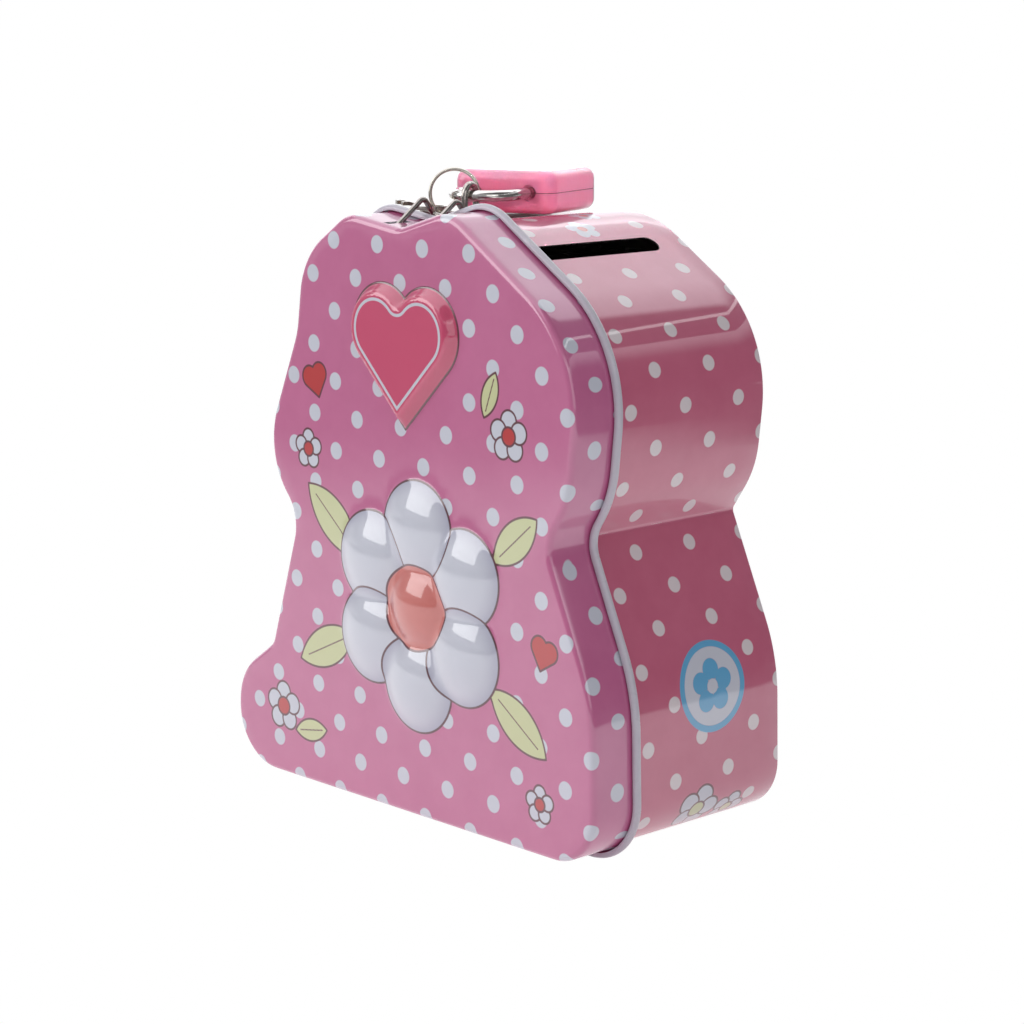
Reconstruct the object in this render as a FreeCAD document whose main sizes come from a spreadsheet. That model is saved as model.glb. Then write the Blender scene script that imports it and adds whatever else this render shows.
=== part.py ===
import FreeCAD, Part
import math
import os
import re

from FreeCAD import Placement, Rotation, Vector

os.makedirs("parts", exist_ok=True)
doc = FreeCAD.newDocument("tin_money_box")

# Driving sizes in millimetres. Outline corners are given across, up and as a rounding radius.
SIZES = {
    "tin_wall": 0.4,
    "lid_fit": 0.3,
    "box_depth": 61.6,
    "skirt_depth": 12.7,
    "neck_overlap": 4.0,
    "face_edge": 1.5,
    "curl_radius": 1.0,
    "band_crease": 0.8,
    "band_peak_right": 32.0,
    "band_peak_left": 29.0,
    "hem_width": 2.5,
    "back_rim": 5.0,
    "back_fit": 0.1,
    "foot_across": 38.0,
    "foot_inset": 10.0,
    "foot_base": 5.5,
    "foot_tip": 3.5,
    "slot_width": 5.1,
    "slot_length": 38.5,
    "slot_depth": 33.25,
    "slot_from_peak": 16.5,
    "relief_rise": 3.4,
    "heart_rise": 2.6,
    "flower_across": 6.0,
    "flower_up": 50.0,
    "petal_ring": 18.0,
    "petal_radius": 11.5,
    "flower_eye": 10.0,
    "heart_across": 2.0,
    "heart_up": 107.0,
    "heart_half": 18.0,
    "hinge_fit": 0.05,
    "pin_length": 92.0,
    "knuckle_across": 24.0,
    "knuckle_width": 14.0,
    "knuckle_gap": 0.4,
    "leaf_wall": 0.5,
    "leaf_depth": 11.0,
    "bail_wire": 1.3,
    "bail_left": -6.0,
    "bail_right": 5.3,
    "bail_pivot": 4.4,
    "bail_peak": 12.9,
    "bail_rise": 4.3,
    "bail_end": 16.2,
    "bail_end_rise": 0.87,
    "bail_bend": 1.3,
    "bail_stub": 3.0,
    "bail_gap": 0.15,
    "bail_slot_front": 2.9,
    "bail_slot_rear": 4.0,
    "bail_slot_width": 1.8,
    "lock_across": 1.0,
    "lock_deep": 21.0,
    "lock_yaw": 18.0,
    "lock_rest_gap": 0.3,
    "case_width": 26.5,
    "case_length": 24.5,
    "case_thick": 10.0,
    "case_corner": 3.5,
    "case_edge": 2.5,
    "case_wall": 1.4,
    "shackle_rod": 2.6,
    "shackle_span": 14.5,
    "shackle_reach": 14.5,
    "shackle_fit": 0.1,
    "shackle_rim": 3.9,
    "shackle_rim_deep": 0.9,
    "toe_depth": 5.9,
    "heel_from_rear": 7.5,
    "heel_collar": 3.8,
    "heel_collar_long": 1.3,
    "guide_from_face": 5.8,
    "guide_long": 2.0,
    "release_travel": 6.5,
    "notch_depth": 0.8,
    "latch_gap": 0.1,
    "latch_from_face": 1.7,
    "latch_thick": 1.4,
    "latch_travel": 2.6,
    "latch_tail": 1.6,
    "latch_high": 3.3,
    "latch_low": 1.0,
    "nose_long": 1.9,
    "crank_pin": 1.2,
    "crank_gap": 0.15,
    "plug_diameter": 6.4,
    "plug_head": 7.4,
    "plug_head_long": 0.8,
    "plug_fit": 0.05,
    "plug_from_face": 7.5,
    "cradle_from_face": 9.0,
    "keyway_width": 1.2,
    "keyway_high": 4.2,
    "keyway_deep": 10.0,
    "clip_wall": 0.5,
    "clip_radius": 3.45,
    "clip_groove": 2.6,
    "clip_gap": 0.2,
    "case_pin": 2.0,
    "case_pin_long": 7.0,
    "case_pin_fit": 0.02,
    "case_pin_across": 9.4,
    "case_pin_from_rear": 4.2,
    "boss_radius": 2.2,
    "seat_wall": 0.6,
    "seat_from_leg": 0.15,
    "spring_radius": 0.9,
    "spring_wire": 0.3,
    "spring_turns": 3.5,
    "staple_wire": 1.6,
    "staple_half": 2.6,
    "staple_fit": 0.15,
    "staple_foot": 2.4,
    "staple_bend": 1.2,
    "plate_wall": 0.6,
    "plate_gap": 0.15,
    "plate_width": 7.0,
    "plate_length": 14.0,
    "ring_radius": 5.6,
    "ring_wire": 0.8,
    "ring_pitch": 1.22,
    "ring_turn": 28.6,
    "ring_gap": 0.3,
    "key_wall": 0.9,
    "key_gap": 0.3,
    "key_hang": 4.95,
    "key_bow": 4.5,
    "key_hole": 2.1,
    "key_hole_off": 2.2,
    "key_long": 22.0,
    "key_blade": 3.6,
    "key_bit": 1.5,
    "key_angle_1": 126.0,
    "key_angle_2": 138.0,
    "foot_right_across": 63.0,
    "foot_right_round": 13.0,
    "flank_right_across": 62.0,
    "flank_right_up": 38.0,
    "flank_right_round": 46.5,
    "waist_right_across": 47.5,
    "waist_right_up": 70.5,
    "waist_right_round": 9.0,
    "side_right_across": 54.5,
    "side_right_up": 81.0,
    "side_right_round": 25.0,
    "shoulder_right_across": 58.0,
    "shoulder_right_up": 114.0,
    "shoulder_right_round": 31.5,
    "peak_right_across": 16.5,
    "peak_right_up": 141.0,
    "peak_right_round": 12.0,
    "dip_across": -0.5,
    "dip_up": 136.0,
    "dip_round": 8.0,
    "peak_left_across": -18.5,
    "peak_left_up": 138.5,
    "peak_left_round": 10.0,
    "shoulder_left_across": -35.0,
    "shoulder_left_up": 127.5,
    "shoulder_left_round": 18.5,
    "hollow_left_across": -37.5,
    "hollow_left_up": 109.5,
    "hollow_left_round": 18.5,
    "side_left_across": -50.5,
    "side_left_up": 79.0,
    "side_left_round": 19.5,
    "waist_left_across": -38.0,
    "waist_left_up": 65.0,
    "waist_left_round": 10.0,
    "ledge_left_across": -48.5,
    "ledge_left_up": 32.0,
    "ledge_left_round": 4.5,
    "bulge_left_across": -62.0,
    "bulge_left_up": 22.5,
    "bulge_left_round": 14.0,
    "foot_left_across": -63.0,
    "foot_left_round": 14.0,
}

# Corners of the front outline, anticlockwise seen from the front, from the right foot.
CORNERS = (
    "foot_right", "flank_right", "waist_right", "side_right", "shoulder_right", "peak_right", "dip",
    "peak_left", "shoulder_left", "hollow_left", "side_left", "waist_left", "ledge_left", "bulge_left",
    "foot_left",
)

sheet = doc.addObject("Spreadsheet::Sheet", "sizes")
for row, (alias, value) in enumerate(SIZES.items(), start=1):
    sheet.set(f"A{row}", alias.replace("_", " "))
    sheet.set(f"B{row}", str(value))
    sheet.setAlias(f"B{row}", alias)
doc.recompute()


def size(alias):
    """Size of that name, read from the sheet."""
    return float(sheet.get(alias))


def sized(text):
    """Expression text with every size's name pointed at the sheet."""
    return re.sub(r"[a-z][a-z0-9_]*", lambda word: f"sizes.{word[0]}" if word[0] in SIZES else word[0], text)


# Outline of the front, its parallels and the box's frame.

# Share of a side that the two arcs at its ends may take.
SIDE_SHARE = 0.98


def corner_list(**rounding):
    """Corners of the front outline as (across, up, radius).

    Rounding replaces the radius of named corners, as far as their neighbours' arcs leave room.
    """
    listed = []
    for name in CORNERS:
        up = size(f"{name}_up") if f"{name}_up" in SIZES else 0.0
        listed.append((size(f"{name}_across"), up, size(f"{name}_round")))
    listed = with_room(listed)
    bends = [math.tan(abs(turn) / 2) for _, _, turn in turns(listed)]
    for name, radius in rounding.items():
        i = CORNERS.index(name)
        x, z, _ = listed[i]
        for j in (i - 1, (i + 1) % len(listed)):
            free = math.hypot(listed[j][0] - x, listed[j][1] - z) - listed[j][2] * bends[j]
            radius = min(radius, SIDE_SHARE * free / bends[i])
        listed[i] = (x, z, radius)
    return listed


def turns(corners):
    """Heading into and out of every corner, and the signed turn between them."""
    listed = []
    for i, (x, z, _) in enumerate(corners):
        before = corners[i - 1]
        after = corners[(i + 1) % len(corners)]
        heading = math.atan2(z - before[1], x - before[0])
        leaving = math.atan2(after[1] - z, after[0] - x)
        listed.append((heading, leaving, (leaving - heading + math.pi) % (2 * math.pi) - math.pi))
    return listed


def with_room(corners):
    """Radii cut back where two neighbouring arcs would not fit on the side between them."""
    reach = [r * math.tan(abs(turn) / 2) for (_, _, r), (_, _, turn) in zip(corners, turns(corners))]
    share = [1.0] * len(corners)
    for i in range(len(corners)):
        j = (i + 1) % len(corners)
        side = math.hypot(corners[j][0] - corners[i][0], corners[j][1] - corners[i][1])
        room = min(1.0, SIDE_SHARE * side / (reach[i] + reach[j]))
        share[i] = min(share[i], room)
        share[j] = min(share[j], room)
    return [(x, z, r * part) for (x, z, r), part in zip(corners, share)]


def parallel(corners, out):
    """Outline moved outwards by that distance; every arc keeps its centre."""
    moved = []
    for (x, z, radius), (heading, leaving, turn) in zip(corners, turns(corners)):
        first = (math.sin(heading), -math.cos(heading))
        last = (math.sin(leaving), -math.cos(leaving))
        step = out / (1 + first[0] * last[0] + first[1] * last[1])
        grown = max(radius + math.copysign(1, turn) * out, 0.1)
        moved.append((x + step * (first[0] + last[0]), z + step * (first[1] + last[1]), grown))
    return moved


def outline(corners, out, deep):
    """Closed wire of the rounded outline, moved out, at that depth behind the face."""
    corners = parallel(corners, out)
    arcs = []
    for (x, z, radius), (heading, leaving, turn) in zip(corners, turns(corners)):
        reach = radius * math.tan(abs(turn) / 2)
        start = (x - reach * math.cos(heading), z - reach * math.sin(heading))
        end = (x + reach * math.cos(leaving), z + reach * math.sin(leaving))
        inwards = (heading + leaving) / 2 + math.copysign(math.pi / 2, turn)
        if abs(leaving - heading) > math.pi:
            inwards += math.pi
        sag = radius / math.cos(turn / 2) - radius
        middle = (x + sag * math.cos(inwards), z + sag * math.sin(inwards))
        arcs.append([at(px, deep, pz) for px, pz in (start, middle, end)])
    edges = []
    for i, (start, middle, end) in enumerate(arcs):
        edges.append(Part.Arc(start, middle, end).toShape())
        edges.append(Part.LineSegment(end, arcs[(i + 1) % len(arcs)][0]).toShape())
    return Part.Wire(edges)


def at(across, deep, up):
    """Point in the box's frame from a place across the face, behind it and above its lower edge."""
    return Vector(across - MIDDLE_ACROSS, deep - MIDDLE_DEEP, up + RIM_DROP)


def prism(corners, out, front, back):
    """Solid with that outline between two depths."""
    return Part.Face(outline(corners, out, front)).extrude(Vector(0, back - front, 0))


def top_height(corners, out, across):
    """Height of the outline's upper side at a place across the face."""
    upright = Part.makeLine(at(across, 0, size("waist_right_up")), at(across, 0, 2 * size("peak_right_up")))
    return outline(corners, out, 0).distToShape(upright)[1][0][0].z - RIM_DROP


WALL = size("tin_wall")
RIM_OUT = size("curl_radius") - WALL / 2
RIM_DROP = RIM_OUT + size("curl_radius")
BAND_OUT = -(WALL + size("lid_fit"))
MIDDLE_ACROSS = 0.0
MIDDLE_DEEP = (size("box_depth") - size("relief_rise")) / 2
LID = corner_list()
BAND = corner_list(
    waist_right=size("band_crease"),
    waist_left=size("band_crease"),
    peak_right=size("band_peak_right"),
    peak_left=size("band_peak_left"),
)
MIDDLE_ACROSS = outline(LID, RIM_OUT, 0).BoundBox.Center.x

pieces = []


def piece(name, shape):
    """Sub-part whose shape is made here from the sheet's sizes."""
    feature = doc.addObject("Part::Feature", name)
    feature.Label = name
    feature.Shape = shape
    pieces.append(feature)
    return feature


# Primitives and booleans tied to the sheet.

ALONG = {
    "x": Rotation(Vector(0, 1, 0), 90),
    "y": Rotation(Vector(1, 0, 0), -90),
    "z": Rotation(),
}


def bind(feature, expressions):
    """Ties properties to the sheet."""
    for name, text in expressions.items():
        feature.setExpression(name, sized(text))
    return feature


def placed(x, y, z):
    """Expressions for a position."""
    return {"Placement.Base.x": x, "Placement.Base.y": y, "Placement.Base.z": z}


def block(name, x, y, z, length, width, height):
    """Box from its lowest corner."""
    feature = doc.addObject("Part::Box", name)
    return bind(feature, {"Length": length, "Width": width, "Height": height, **placed(x, y, z)})


def rod(name, along, x, y, z, radius, length):
    """Cylinder from the middle of its first end."""
    feature = doc.addObject("Part::Cylinder", name)
    feature.Placement = Placement(Vector(), ALONG[along])
    return bind(feature, {"Radius": radius, "Height": length, **placed(x, y, z)})


def joined(name, *features):
    """Union."""
    feature = doc.addObject("Part::MultiFuse", name)
    feature.Shapes = list(features)
    return feature


def cut(name, base, *tools):
    """Base less the tools."""
    feature = doc.addObject("Part::Cut", name)
    feature.Base = base
    feature.Tool = tools[0] if len(tools) == 1 else joined(f"{name}_tools", *tools)
    return feature


def common(name, *features):
    """Intersection."""
    feature = doc.addObject("Part::MultiCommon", name)
    feature.Shapes = list(features)
    return feature


def rounded(name, base, radius, chosen):
    """Fillet on the edges that the test picks."""
    doc.recompute()
    feature = doc.addObject("Part::Fillet", name)
    feature.Base = base
    picked = [i for i, edge in enumerate(base.Shape.Edges, start=1) if chosen(edge)]
    feature.Edges = [(i, radius, radius) for i in picked]
    return feature


def finished(feature, name, placement):
    """Makes a feature the sub-part of that name."""
    feature.Label = name
    feature.Placement = placement
    pieces.append(feature)
    return feature


# Bent and wound wire.


def bent_path(points, bends):
    """Straight runs between points, with an arc of the given radius at each inner point."""
    edges = []
    start = points[0]
    for before, corner, after, radius in zip(points, points[1:], points[2:], bends):
        arrive = (corner - before).normalize()
        leave = (after - corner).normalize()
        turn = arrive.getAngle(leave)
        reach = radius * math.tan(turn / 2)
        first = corner - arrive * reach
        last = corner + leave * reach
        middle = corner + (leave - arrive).normalize() * (radius / math.cos(turn / 2) - radius)
        edges.append(Part.LineSegment(start, first).toShape())
        edges.append(Part.Arc(first, middle, last).toShape())
        start = last
    edges.append(Part.LineSegment(start, points[-1]).toShape())
    return Part.Wire(edges)


def drawn_wire(path, start, heading, diameter):
    """Round wire along a path."""
    section = Part.Wire(Part.makeCircle(diameter / 2, start, heading))
    return path.makePipeShell([section], True, False)


def tangent_arc(start, heading, end):
    """Arc that leaves start along heading and ends at end."""
    chord = end - start
    along = Vector(chord).normalize()
    side = (heading - along * heading.dot(along)).normalize()
    sag = chord.Length / 2 * math.tan(heading.getAngle(chord) / 2)
    return Part.Arc(start, start + chord / 2 + side * sag, end).toShape()


def wound_wire(angles, radius, rise, slope, diameter):
    """Wire wound about Z in pairs of arcs; rise and slope give its height and climb at an angle."""
    edges = []
    ends = []
    for angle in angles:
        spot = Vector(radius * math.cos(angle), radius * math.sin(angle), rise(angle))
        heading = Vector(-radius * math.sin(angle), radius * math.cos(angle), slope(angle)).normalize()
        ends.append((spot, heading))
    for (start, first), (end, last) in zip(ends, ends[1:]):
        chord = end - start
        spread = 2 * (1 - first.dot(last))
        pull = chord.dot(first + last)
        handle = (math.sqrt(pull * pull + spread * chord.dot(chord)) - pull) / spread
        joint = (start + end + (first - last) * handle) / 2
        edges.append(tangent_arc(start, first, joint))
        edges.append(tangent_arc(end, last * -1, joint))
    return drawn_wire(Part.Wire(Part.__sortEdges__(edges)), ends[0][0], ends[0][1], diameter)


# Where the padlock, its staple and its ring stand, from the shackle's bend.

LOCK_YAW = Rotation(Vector(0, 0, 1), size("lock_yaw"))
lock_reach = size("shackle_reach") + size("case_edge")
lock_far = size("shackle_reach") + size("case_length") - size("case_edge")
lock_half = size("case_width") / 2 - size("case_edge")
under_case = [
    size("lock_across") + LOCK_YAW.multVec(Vector(side * lock_half, deep, 0)).x
    for side in (-1, -0.5, 0, 0.5, 1)
    for deep in (lock_reach, lock_far)
]
LOCK_UP = max(top_height(BAND, BAND_OUT, x) for x in under_case) + size("lock_rest_gap") + size("case_thick") / 2
LOCK = Placement(at(size("lock_across"), size("lock_deep"), LOCK_UP), LOCK_YAW)


# Lid: face with rounded edge, pressed relief, straight skirt and outward curl.


def dome(across, up, radius, rise, inner):
    """Ball cap pressed out of the face, or the hollow behind it."""
    ball = (radius * radius + rise * rise) / (2 * rise)
    centre_deep = ball - rise
    skin = ball - WALL if inner else ball
    base = 1.5 * WALL if inner else WALL / 2
    start = math.degrees(math.asin((centre_deep - base) / skin))
    return Part.makeSphere(skin, at(across, centre_deep, up), Vector(0, -1, 0), start, 90, 360)


def heart_pad(inner):
    """Heart-shaped plateau pressed out of the face, or the hollow behind it."""
    half = size("heart_half")
    shape = (
        (0.0, -0.92, 0.10), (0.98, 0.10, 0.42), (0.86, 0.86, 0.36), (0.20, 0.84, 0.30), (0.0, 0.40, 0.06),
        (-0.20, 0.84, 0.30), (-0.86, 0.86, 0.36), (-0.98, 0.10, 0.42),
    )
    corners = with_room([
        (size("heart_across") + x * half, size("heart_up") + z * half, r * half) for x, z, r in shape
    ])
    skin = -WALL if inner else 0.0
    base = 1.5 * WALL if inner else WALL / 2
    top = size("heart_rise") - WALL if inner else size("heart_rise")
    slope = size("heart_rise") * 0.8
    wires = [outline(corners, skin, base), outline(corners, skin - slope, -top)]
    return Part.makeLoft(wires, True, True)


def relief(inner):
    """All pressed shapes of the face."""
    across = size("flower_across")
    up = size("flower_up")
    rise = size("relief_rise")
    shapes = [dome(across, up, size("flower_eye"), rise, inner), heart_pad(inner)]
    for i in range(6):
        angle = math.radians(30 + 60 * i)
        ring = size("petal_ring")
        petal = (across + ring * math.cos(angle), up + ring * math.sin(angle))
        shapes.append(dome(petal[0], petal[1], size("petal_radius"), rise * 0.85, inner))
    return shapes


def pan(out, front, radius):
    """Filled lid with its front edge rounded."""
    body = prism(LID, out, front, size("skirt_depth"))
    edge_deep = at(0, front, 0).y
    edges = [e for e in body.Edges if abs(e.BoundBox.YMin - edge_deep) + abs(e.BoundBox.YMax - edge_deep) < 1e-6]
    return body.makeFillet(radius, edges)


def rim_tube(radius):
    """Round tube along the skirt's edge."""
    path = outline(LID, RIM_OUT, size("skirt_depth"))
    start = path.Edges[1]
    spot = start.valueAt(start.FirstParameter)
    heading = start.tangentAt(start.FirstParameter)
    edges = path.Edges[1:] + path.Edges[:1]
    return drawn_wire(Part.Wire(edges), spot, heading, 2 * radius)


skin = pan(0, 0, size("face_edge")).multiFuse(relief(False))
hollow = pan(-WALL, WALL, size("face_edge") - WALL).multiFuse(relief(True))
lid = skin.cut(hollow)
curl = rim_tube(size("curl_radius")).cut(rim_tube(size("curl_radius") - WALL))
lid = lid.fuse(curl).cut(rim_tube(size("curl_radius") - WALL))

notch_half = size("knuckle_width") / 2 + size("knuckle_gap")
notch_front = size("skirt_depth") - size("curl_radius") - size("knuckle_gap")
notch_deep = 2 * size("curl_radius") + 2 * size("knuckle_gap")
for side in (-1, 1):
    corner = at(MIDDLE_ACROSS + side * size("knuckle_across") - notch_half, notch_front, -RIM_DROP - WALL)
    lid = lid.cut(Part.makeBox(2 * notch_half, notch_deep, RIM_DROP + 2 * WALL + size("lid_fit") / 2, corner))

slot_front = size("bail_pivot") - size("bail_slot_front")
slot_long = size("bail_slot_front") + size("bail_slot_rear")
for across in (size("bail_left"), size("bail_right")):
    corner = at(across - size("bail_slot_width") / 2, slot_front, size("shoulder_left_up"))
    lid = lid.cut(Part.makeBox(size("bail_slot_width"), slot_long, size("peak_right_up"), corner))
piece("lid_shell", lid)


# Body band: neck, coin slot with turned-in lips, rear hem, stamped feet and staple holes.

neck_front = size("skirt_depth") - size("neck_overlap")
band = prism(BAND, BAND_OUT, neck_front, size("box_depth"))

foot_height = RIM_DROP - BAND_OUT
foot_deep = size("box_depth") - size("foot_inset")
feet = []
hollows = [prism(BAND, BAND_OUT - WALL, neck_front - WALL, size("box_depth") - WALL)]
hollows.append(prism(BAND, BAND_OUT - WALL - size("hem_width"), neck_front, size("box_depth") + WALL))
for side in (-1, 1):
    spot = at(MIDDLE_ACROSS + side * size("foot_across"), foot_deep, -BAND_OUT)
    down = Vector(0, 0, -1)
    base = size("foot_base")
    tip = size("foot_tip")
    feet.append(Part.makeCone(base, tip, foot_height, spot, down))
    hollows.append(Part.makeCone(base - WALL, tip - WALL, foot_height, spot + Vector(0, 0, WALL), down))

shoulder = BAND[CORNERS.index("shoulder_right")]
peak = BAND[CORNERS.index("peak_right")]
slope = math.atan2(peak[1] - shoulder[1], peak[0] - shoulder[0])
from_peak = size("slot_from_peak")
slot_spot = at(
    peak[0] - from_peak * math.cos(slope) + BAND_OUT * math.sin(slope),
    size("slot_depth"),
    peak[1] - from_peak * math.sin(slope) - BAND_OUT * math.cos(slope),
)
slot_place = Placement(slot_spot, Rotation(Vector(0, 1, 0), 180 - math.degrees(slope)))


def slot_bar(reach):
    """Round-ended bar through the punched coin slot, standing out of the slope by the reach on both sides."""
    half = size("slot_width") / 2
    run = size("slot_length") - size("slot_width")
    bar = Part.makeBox(2 * half, run, 2 * reach, Vector(-half, -run / 2, -reach))
    ends = [Part.makeCylinder(half, 2 * reach, Vector(0, side * run / 2, -reach)) for side in (-1, 1)]
    bar = bar.multiFuse(ends).removeSplitter()
    bar.Placement = slot_place
    return bar


band = band.multiFuse(feet)
for hollow in hollows:
    band = band.cut(hollow)
band = band.cut(slot_bar(2 * WALL))
for side in (-1, 1):
    leg = LOCK.multVec(Vector(0, side * size("staple_half"), -size("case_thick")))
    band = band.cut(Part.makeCylinder(size("staple_wire") / 2 + size("staple_fit"), size("case_thick"), leg))
piece("body_band", band)


# Back panel: flat tray pressed in behind the hem, its rim turned forward.

back_out = BAND_OUT - WALL - size("back_fit")
back_rear = size("box_depth") - WALL
panel = prism(BAND, back_out, back_rear - size("back_rim"), back_rear)
panel = panel.cut(prism(BAND, back_out - WALL, back_rear - size("back_rim") - WALL, back_rear - WALL))
piece("back_panel", panel)


# Hinge along the bottom: pin in the lid's curl, and a leaf with knuckles under the band.

HINGE = Placement(at(MIDDLE_ACROSS, size("skirt_depth"), -RIM_OUT), Rotation())
pin = doc.addObject("Part::Cylinder", "hinge_pin")
bind(pin, {"Radius": "curl_radius - tin_wall - hinge_fit", "Height": "pin_length"})
finished(pin, "hinge_pin", HINGE.multiply(Placement(Vector(-size("pin_length") / 2, 0, 0), ALONG["x"])))

leaf_top = "(curl_radius - tin_wall / 2 + tin_wall + lid_fit)"
leaf_start = "(curl_radius + knuckle_gap)"
leaf_parts = [block(
    "leaf_plate", "-knuckle_across - knuckle_width / 2", leaf_start, f"{leaf_top} - leaf_wall",
    "2 * knuckle_across + knuckle_width", "leaf_depth", "leaf_wall",
)]
for name, sign in (("left", "-"), ("right", "")):
    left_end = f"{sign}knuckle_across - knuckle_width / 2"
    leaf_parts.append(rod(f"knuckle_{name}", "x", left_end, "0", "0", "curl_radius", "knuckle_width"))
    leaf_parts.append(block(
        f"leaf_neck_{name}", left_end, "tin_wall", "curl_radius - tin_wall", "knuckle_width",
        f"{leaf_start} + leaf_wall - tin_wall", f"{leaf_top} - curl_radius + tin_wall",
    ))
pin_bore = rod(
    "knuckle_bore", "x", "-pin_length / 2", "0", "0", "curl_radius - tin_wall", "pin_length",
)
finished(cut("hinge_leaf", joined("leaf_body", *leaf_parts), pin_bore), "hinge_leaf", HINGE)


# Hasp bail: bent wire held in two slots of the skirt by its turned-out ends.

inner_skirt = min(top_height(LID, -WALL, size(name)) for name in ("bail_left", "bail_right"))
BAIL_UP = inner_skirt - size("bail_gap") - size("bail_wire") / 2


def bail_point(across, deep, up):
    """Point on the bail's centre line."""
    return at(across, size(deep), up)


left = size("bail_left")
right = size("bail_right")
stub = size("bail_stub")
bail_peak_up = top_height(LID, 0, right) + size("bail_rise")
bail_end_up = top_height(BAND, BAND_OUT, right) + size("bail_end_rise")
bail_points = [
    bail_point(left - stub, "bail_pivot", BAIL_UP),
    bail_point(left, "bail_pivot", BAIL_UP),
    bail_point(left, "bail_peak", bail_peak_up),
    bail_point(left, "bail_end", bail_end_up),
    bail_point(right, "bail_end", bail_end_up),
    bail_point(right, "bail_peak", bail_peak_up),
    bail_point(right, "bail_pivot", BAIL_UP),
    bail_point(right + stub, "bail_pivot", BAIL_UP),
]
bail_path = bent_path(bail_points, [size("bail_bend") * 0.75] + [size("bail_bend")] * 4 + [size("bail_bend") * 0.75])
piece("hasp_bail", drawn_wire(bail_path, bail_points[0], Vector(1, 0, 0), size("bail_wire")))


# Staple through the band's top, clinched over a backing plate inside.

plate_half = (
    math.cos(math.radians(size("lock_yaw"))) * size("plate_width") / 2
    + math.sin(math.radians(size("lock_yaw"))) * size("plate_length") / 2
)
over_plate = [size("lock_across") + share * plate_half for share in (-1, -0.5, 0, 0.5, 1)] + [size("dip_across")]
plate_top = min(top_height(BAND, BAND_OUT - WALL, x) for x in over_plate) - size("plate_gap") - LOCK_UP
foot_up = plate_top - size("plate_wall") - size("staple_fit") - size("staple_wire") / 2
half = size("staple_half")
foot = half + size("staple_foot")
staple_points = [
    Vector(0, -foot, foot_up), Vector(0, -half, foot_up), Vector(0, -half, half),
    Vector(0, half, half), Vector(0, half, foot_up), Vector(0, foot, foot_up),
]
arch = half * 0.98
staple_path = bent_path(staple_points, [size("staple_bend"), arch, arch, size("staple_bend")])
staple = drawn_wire(staple_path, staple_points[0], Vector(0, 1, 0), size("staple_wire"))
piece("hasp_staple", staple).Placement = LOCK

plate_holes = [
    rod(
        f"plate_hole_{name}", "z", "0", f"{sign}staple_half", "-plate_wall",
        "staple_wire / 2 + staple_fit", "3 * plate_wall",
    )
    for name, sign in (("front", "-"), ("rear", ""))
]
plate = block(
    "plate_blank", "-plate_width / 2", "-plate_length / 2", "0", "plate_width", "plate_length", "plate_wall",
)
plate_place = LOCK.multiply(Placement(Vector(0, 0, plate_top - size("plate_wall")), Rotation()))
finished(cut("staple_plate", plate, *plate_holes), "staple_plate", plate_place)


# Padlock case: one hollow block, split at half thickness.

inner_face = "(shackle_reach + case_wall)"
rear_face = "(shackle_reach + case_length)"
pin_deep = f"({rear_face} - case_pin_from_rear)"
rear_inside = f"({rear_face} - case_wall)"
inner_high = "(case_thick - case_wall)"
inner_low = "(-(case_thick - case_wall) / 2)"
case_blank = block(
    "case_blank", "-case_width / 2", "shackle_reach", "-case_thick / 2",
    "case_width", "case_length", "case_thick",
)


def upright_edge(edge):
    """Edge along the thickness."""
    return edge.BoundBox.ZLength > size("case_thick") / 2


def rim_edge(edge):
    """Edge in the upper or lower face."""
    return edge.BoundBox.ZLength < 1e-4 and abs(abs(edge.BoundBox.Center.z) - size("case_thick") / 2) < 1e-4


case_blank = rounded("case_corners", case_blank, size("case_corner"), upright_edge)
case_blank = rounded("case_rounded", case_blank, size("case_edge"), rim_edge)
case_cavity = block(
    "case_cavity", "-case_width / 2 + case_wall", inner_face, "-case_thick / 2 + case_wall",
    "case_width - 2 * case_wall", "case_length - 2 * case_wall", "case_thick - 2 * case_wall",
)
case_shell = cut("case_shell", case_blank, case_cavity)
cradle_half = "(plug_diameter / 2 + case_wall)"
case_parts = [
    case_shell,
    block(
        "plug_cradle", f"-{cradle_half}", "shackle_reach + cradle_from_face", inner_low,
        f"2 * {cradle_half}", f"{rear_face} - case_wall / 2 - shackle_reach - cradle_from_face", inner_high,
    ),
    block(
        "heel_guide", "-case_width / 2 + case_wall / 2", "shackle_reach + guide_from_face", inner_low,
        "case_width / 2 - case_wall / 2 - shackle_span / 2 + shackle_rod", "guide_long", inner_high,
    ),
    block(
        "spring_seat", "-shackle_span / 2 + shackle_rod / 2 + seat_from_leg", "shackle_reach + case_wall / 2",
        inner_low, "seat_wall", "case_wall / 2 + latch_thick + 2 * latch_gap", inner_high,
    ),
]
for name, sign in (("left", "-"), ("right", "")):
    case_parts.append(rod(
        f"pin_boss_{name}", "z", f"{sign}case_pin_across", pin_deep, inner_low, "boss_radius", inner_high,
    ))
leg_bore = "shackle_rod / 2 + shackle_fit"
case_bores = [
    rod(
        "heel_bore", "y", "-shackle_span / 2", "shackle_reach - case_wall", "0", leg_bore,
        "guide_from_face + guide_long + 2 * case_wall",
    ),
    rod("toe_bore", "y", "shackle_span / 2", "shackle_reach - case_wall", "0", leg_bore, "3 * case_wall"),
    rod(
        "plug_bore", "y", "0", "shackle_reach + cradle_from_face - case_wall", "0",
        "plug_diameter / 2 + plug_fit", "case_length - cradle_from_face + 2 * case_wall",
    ),
    rod(
        "plug_recess", "y", "0", f"{rear_face} - plug_head_long", "0", "plug_head / 2 + plug_fit",
        "plug_head_long + case_wall",
    ),
]
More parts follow.
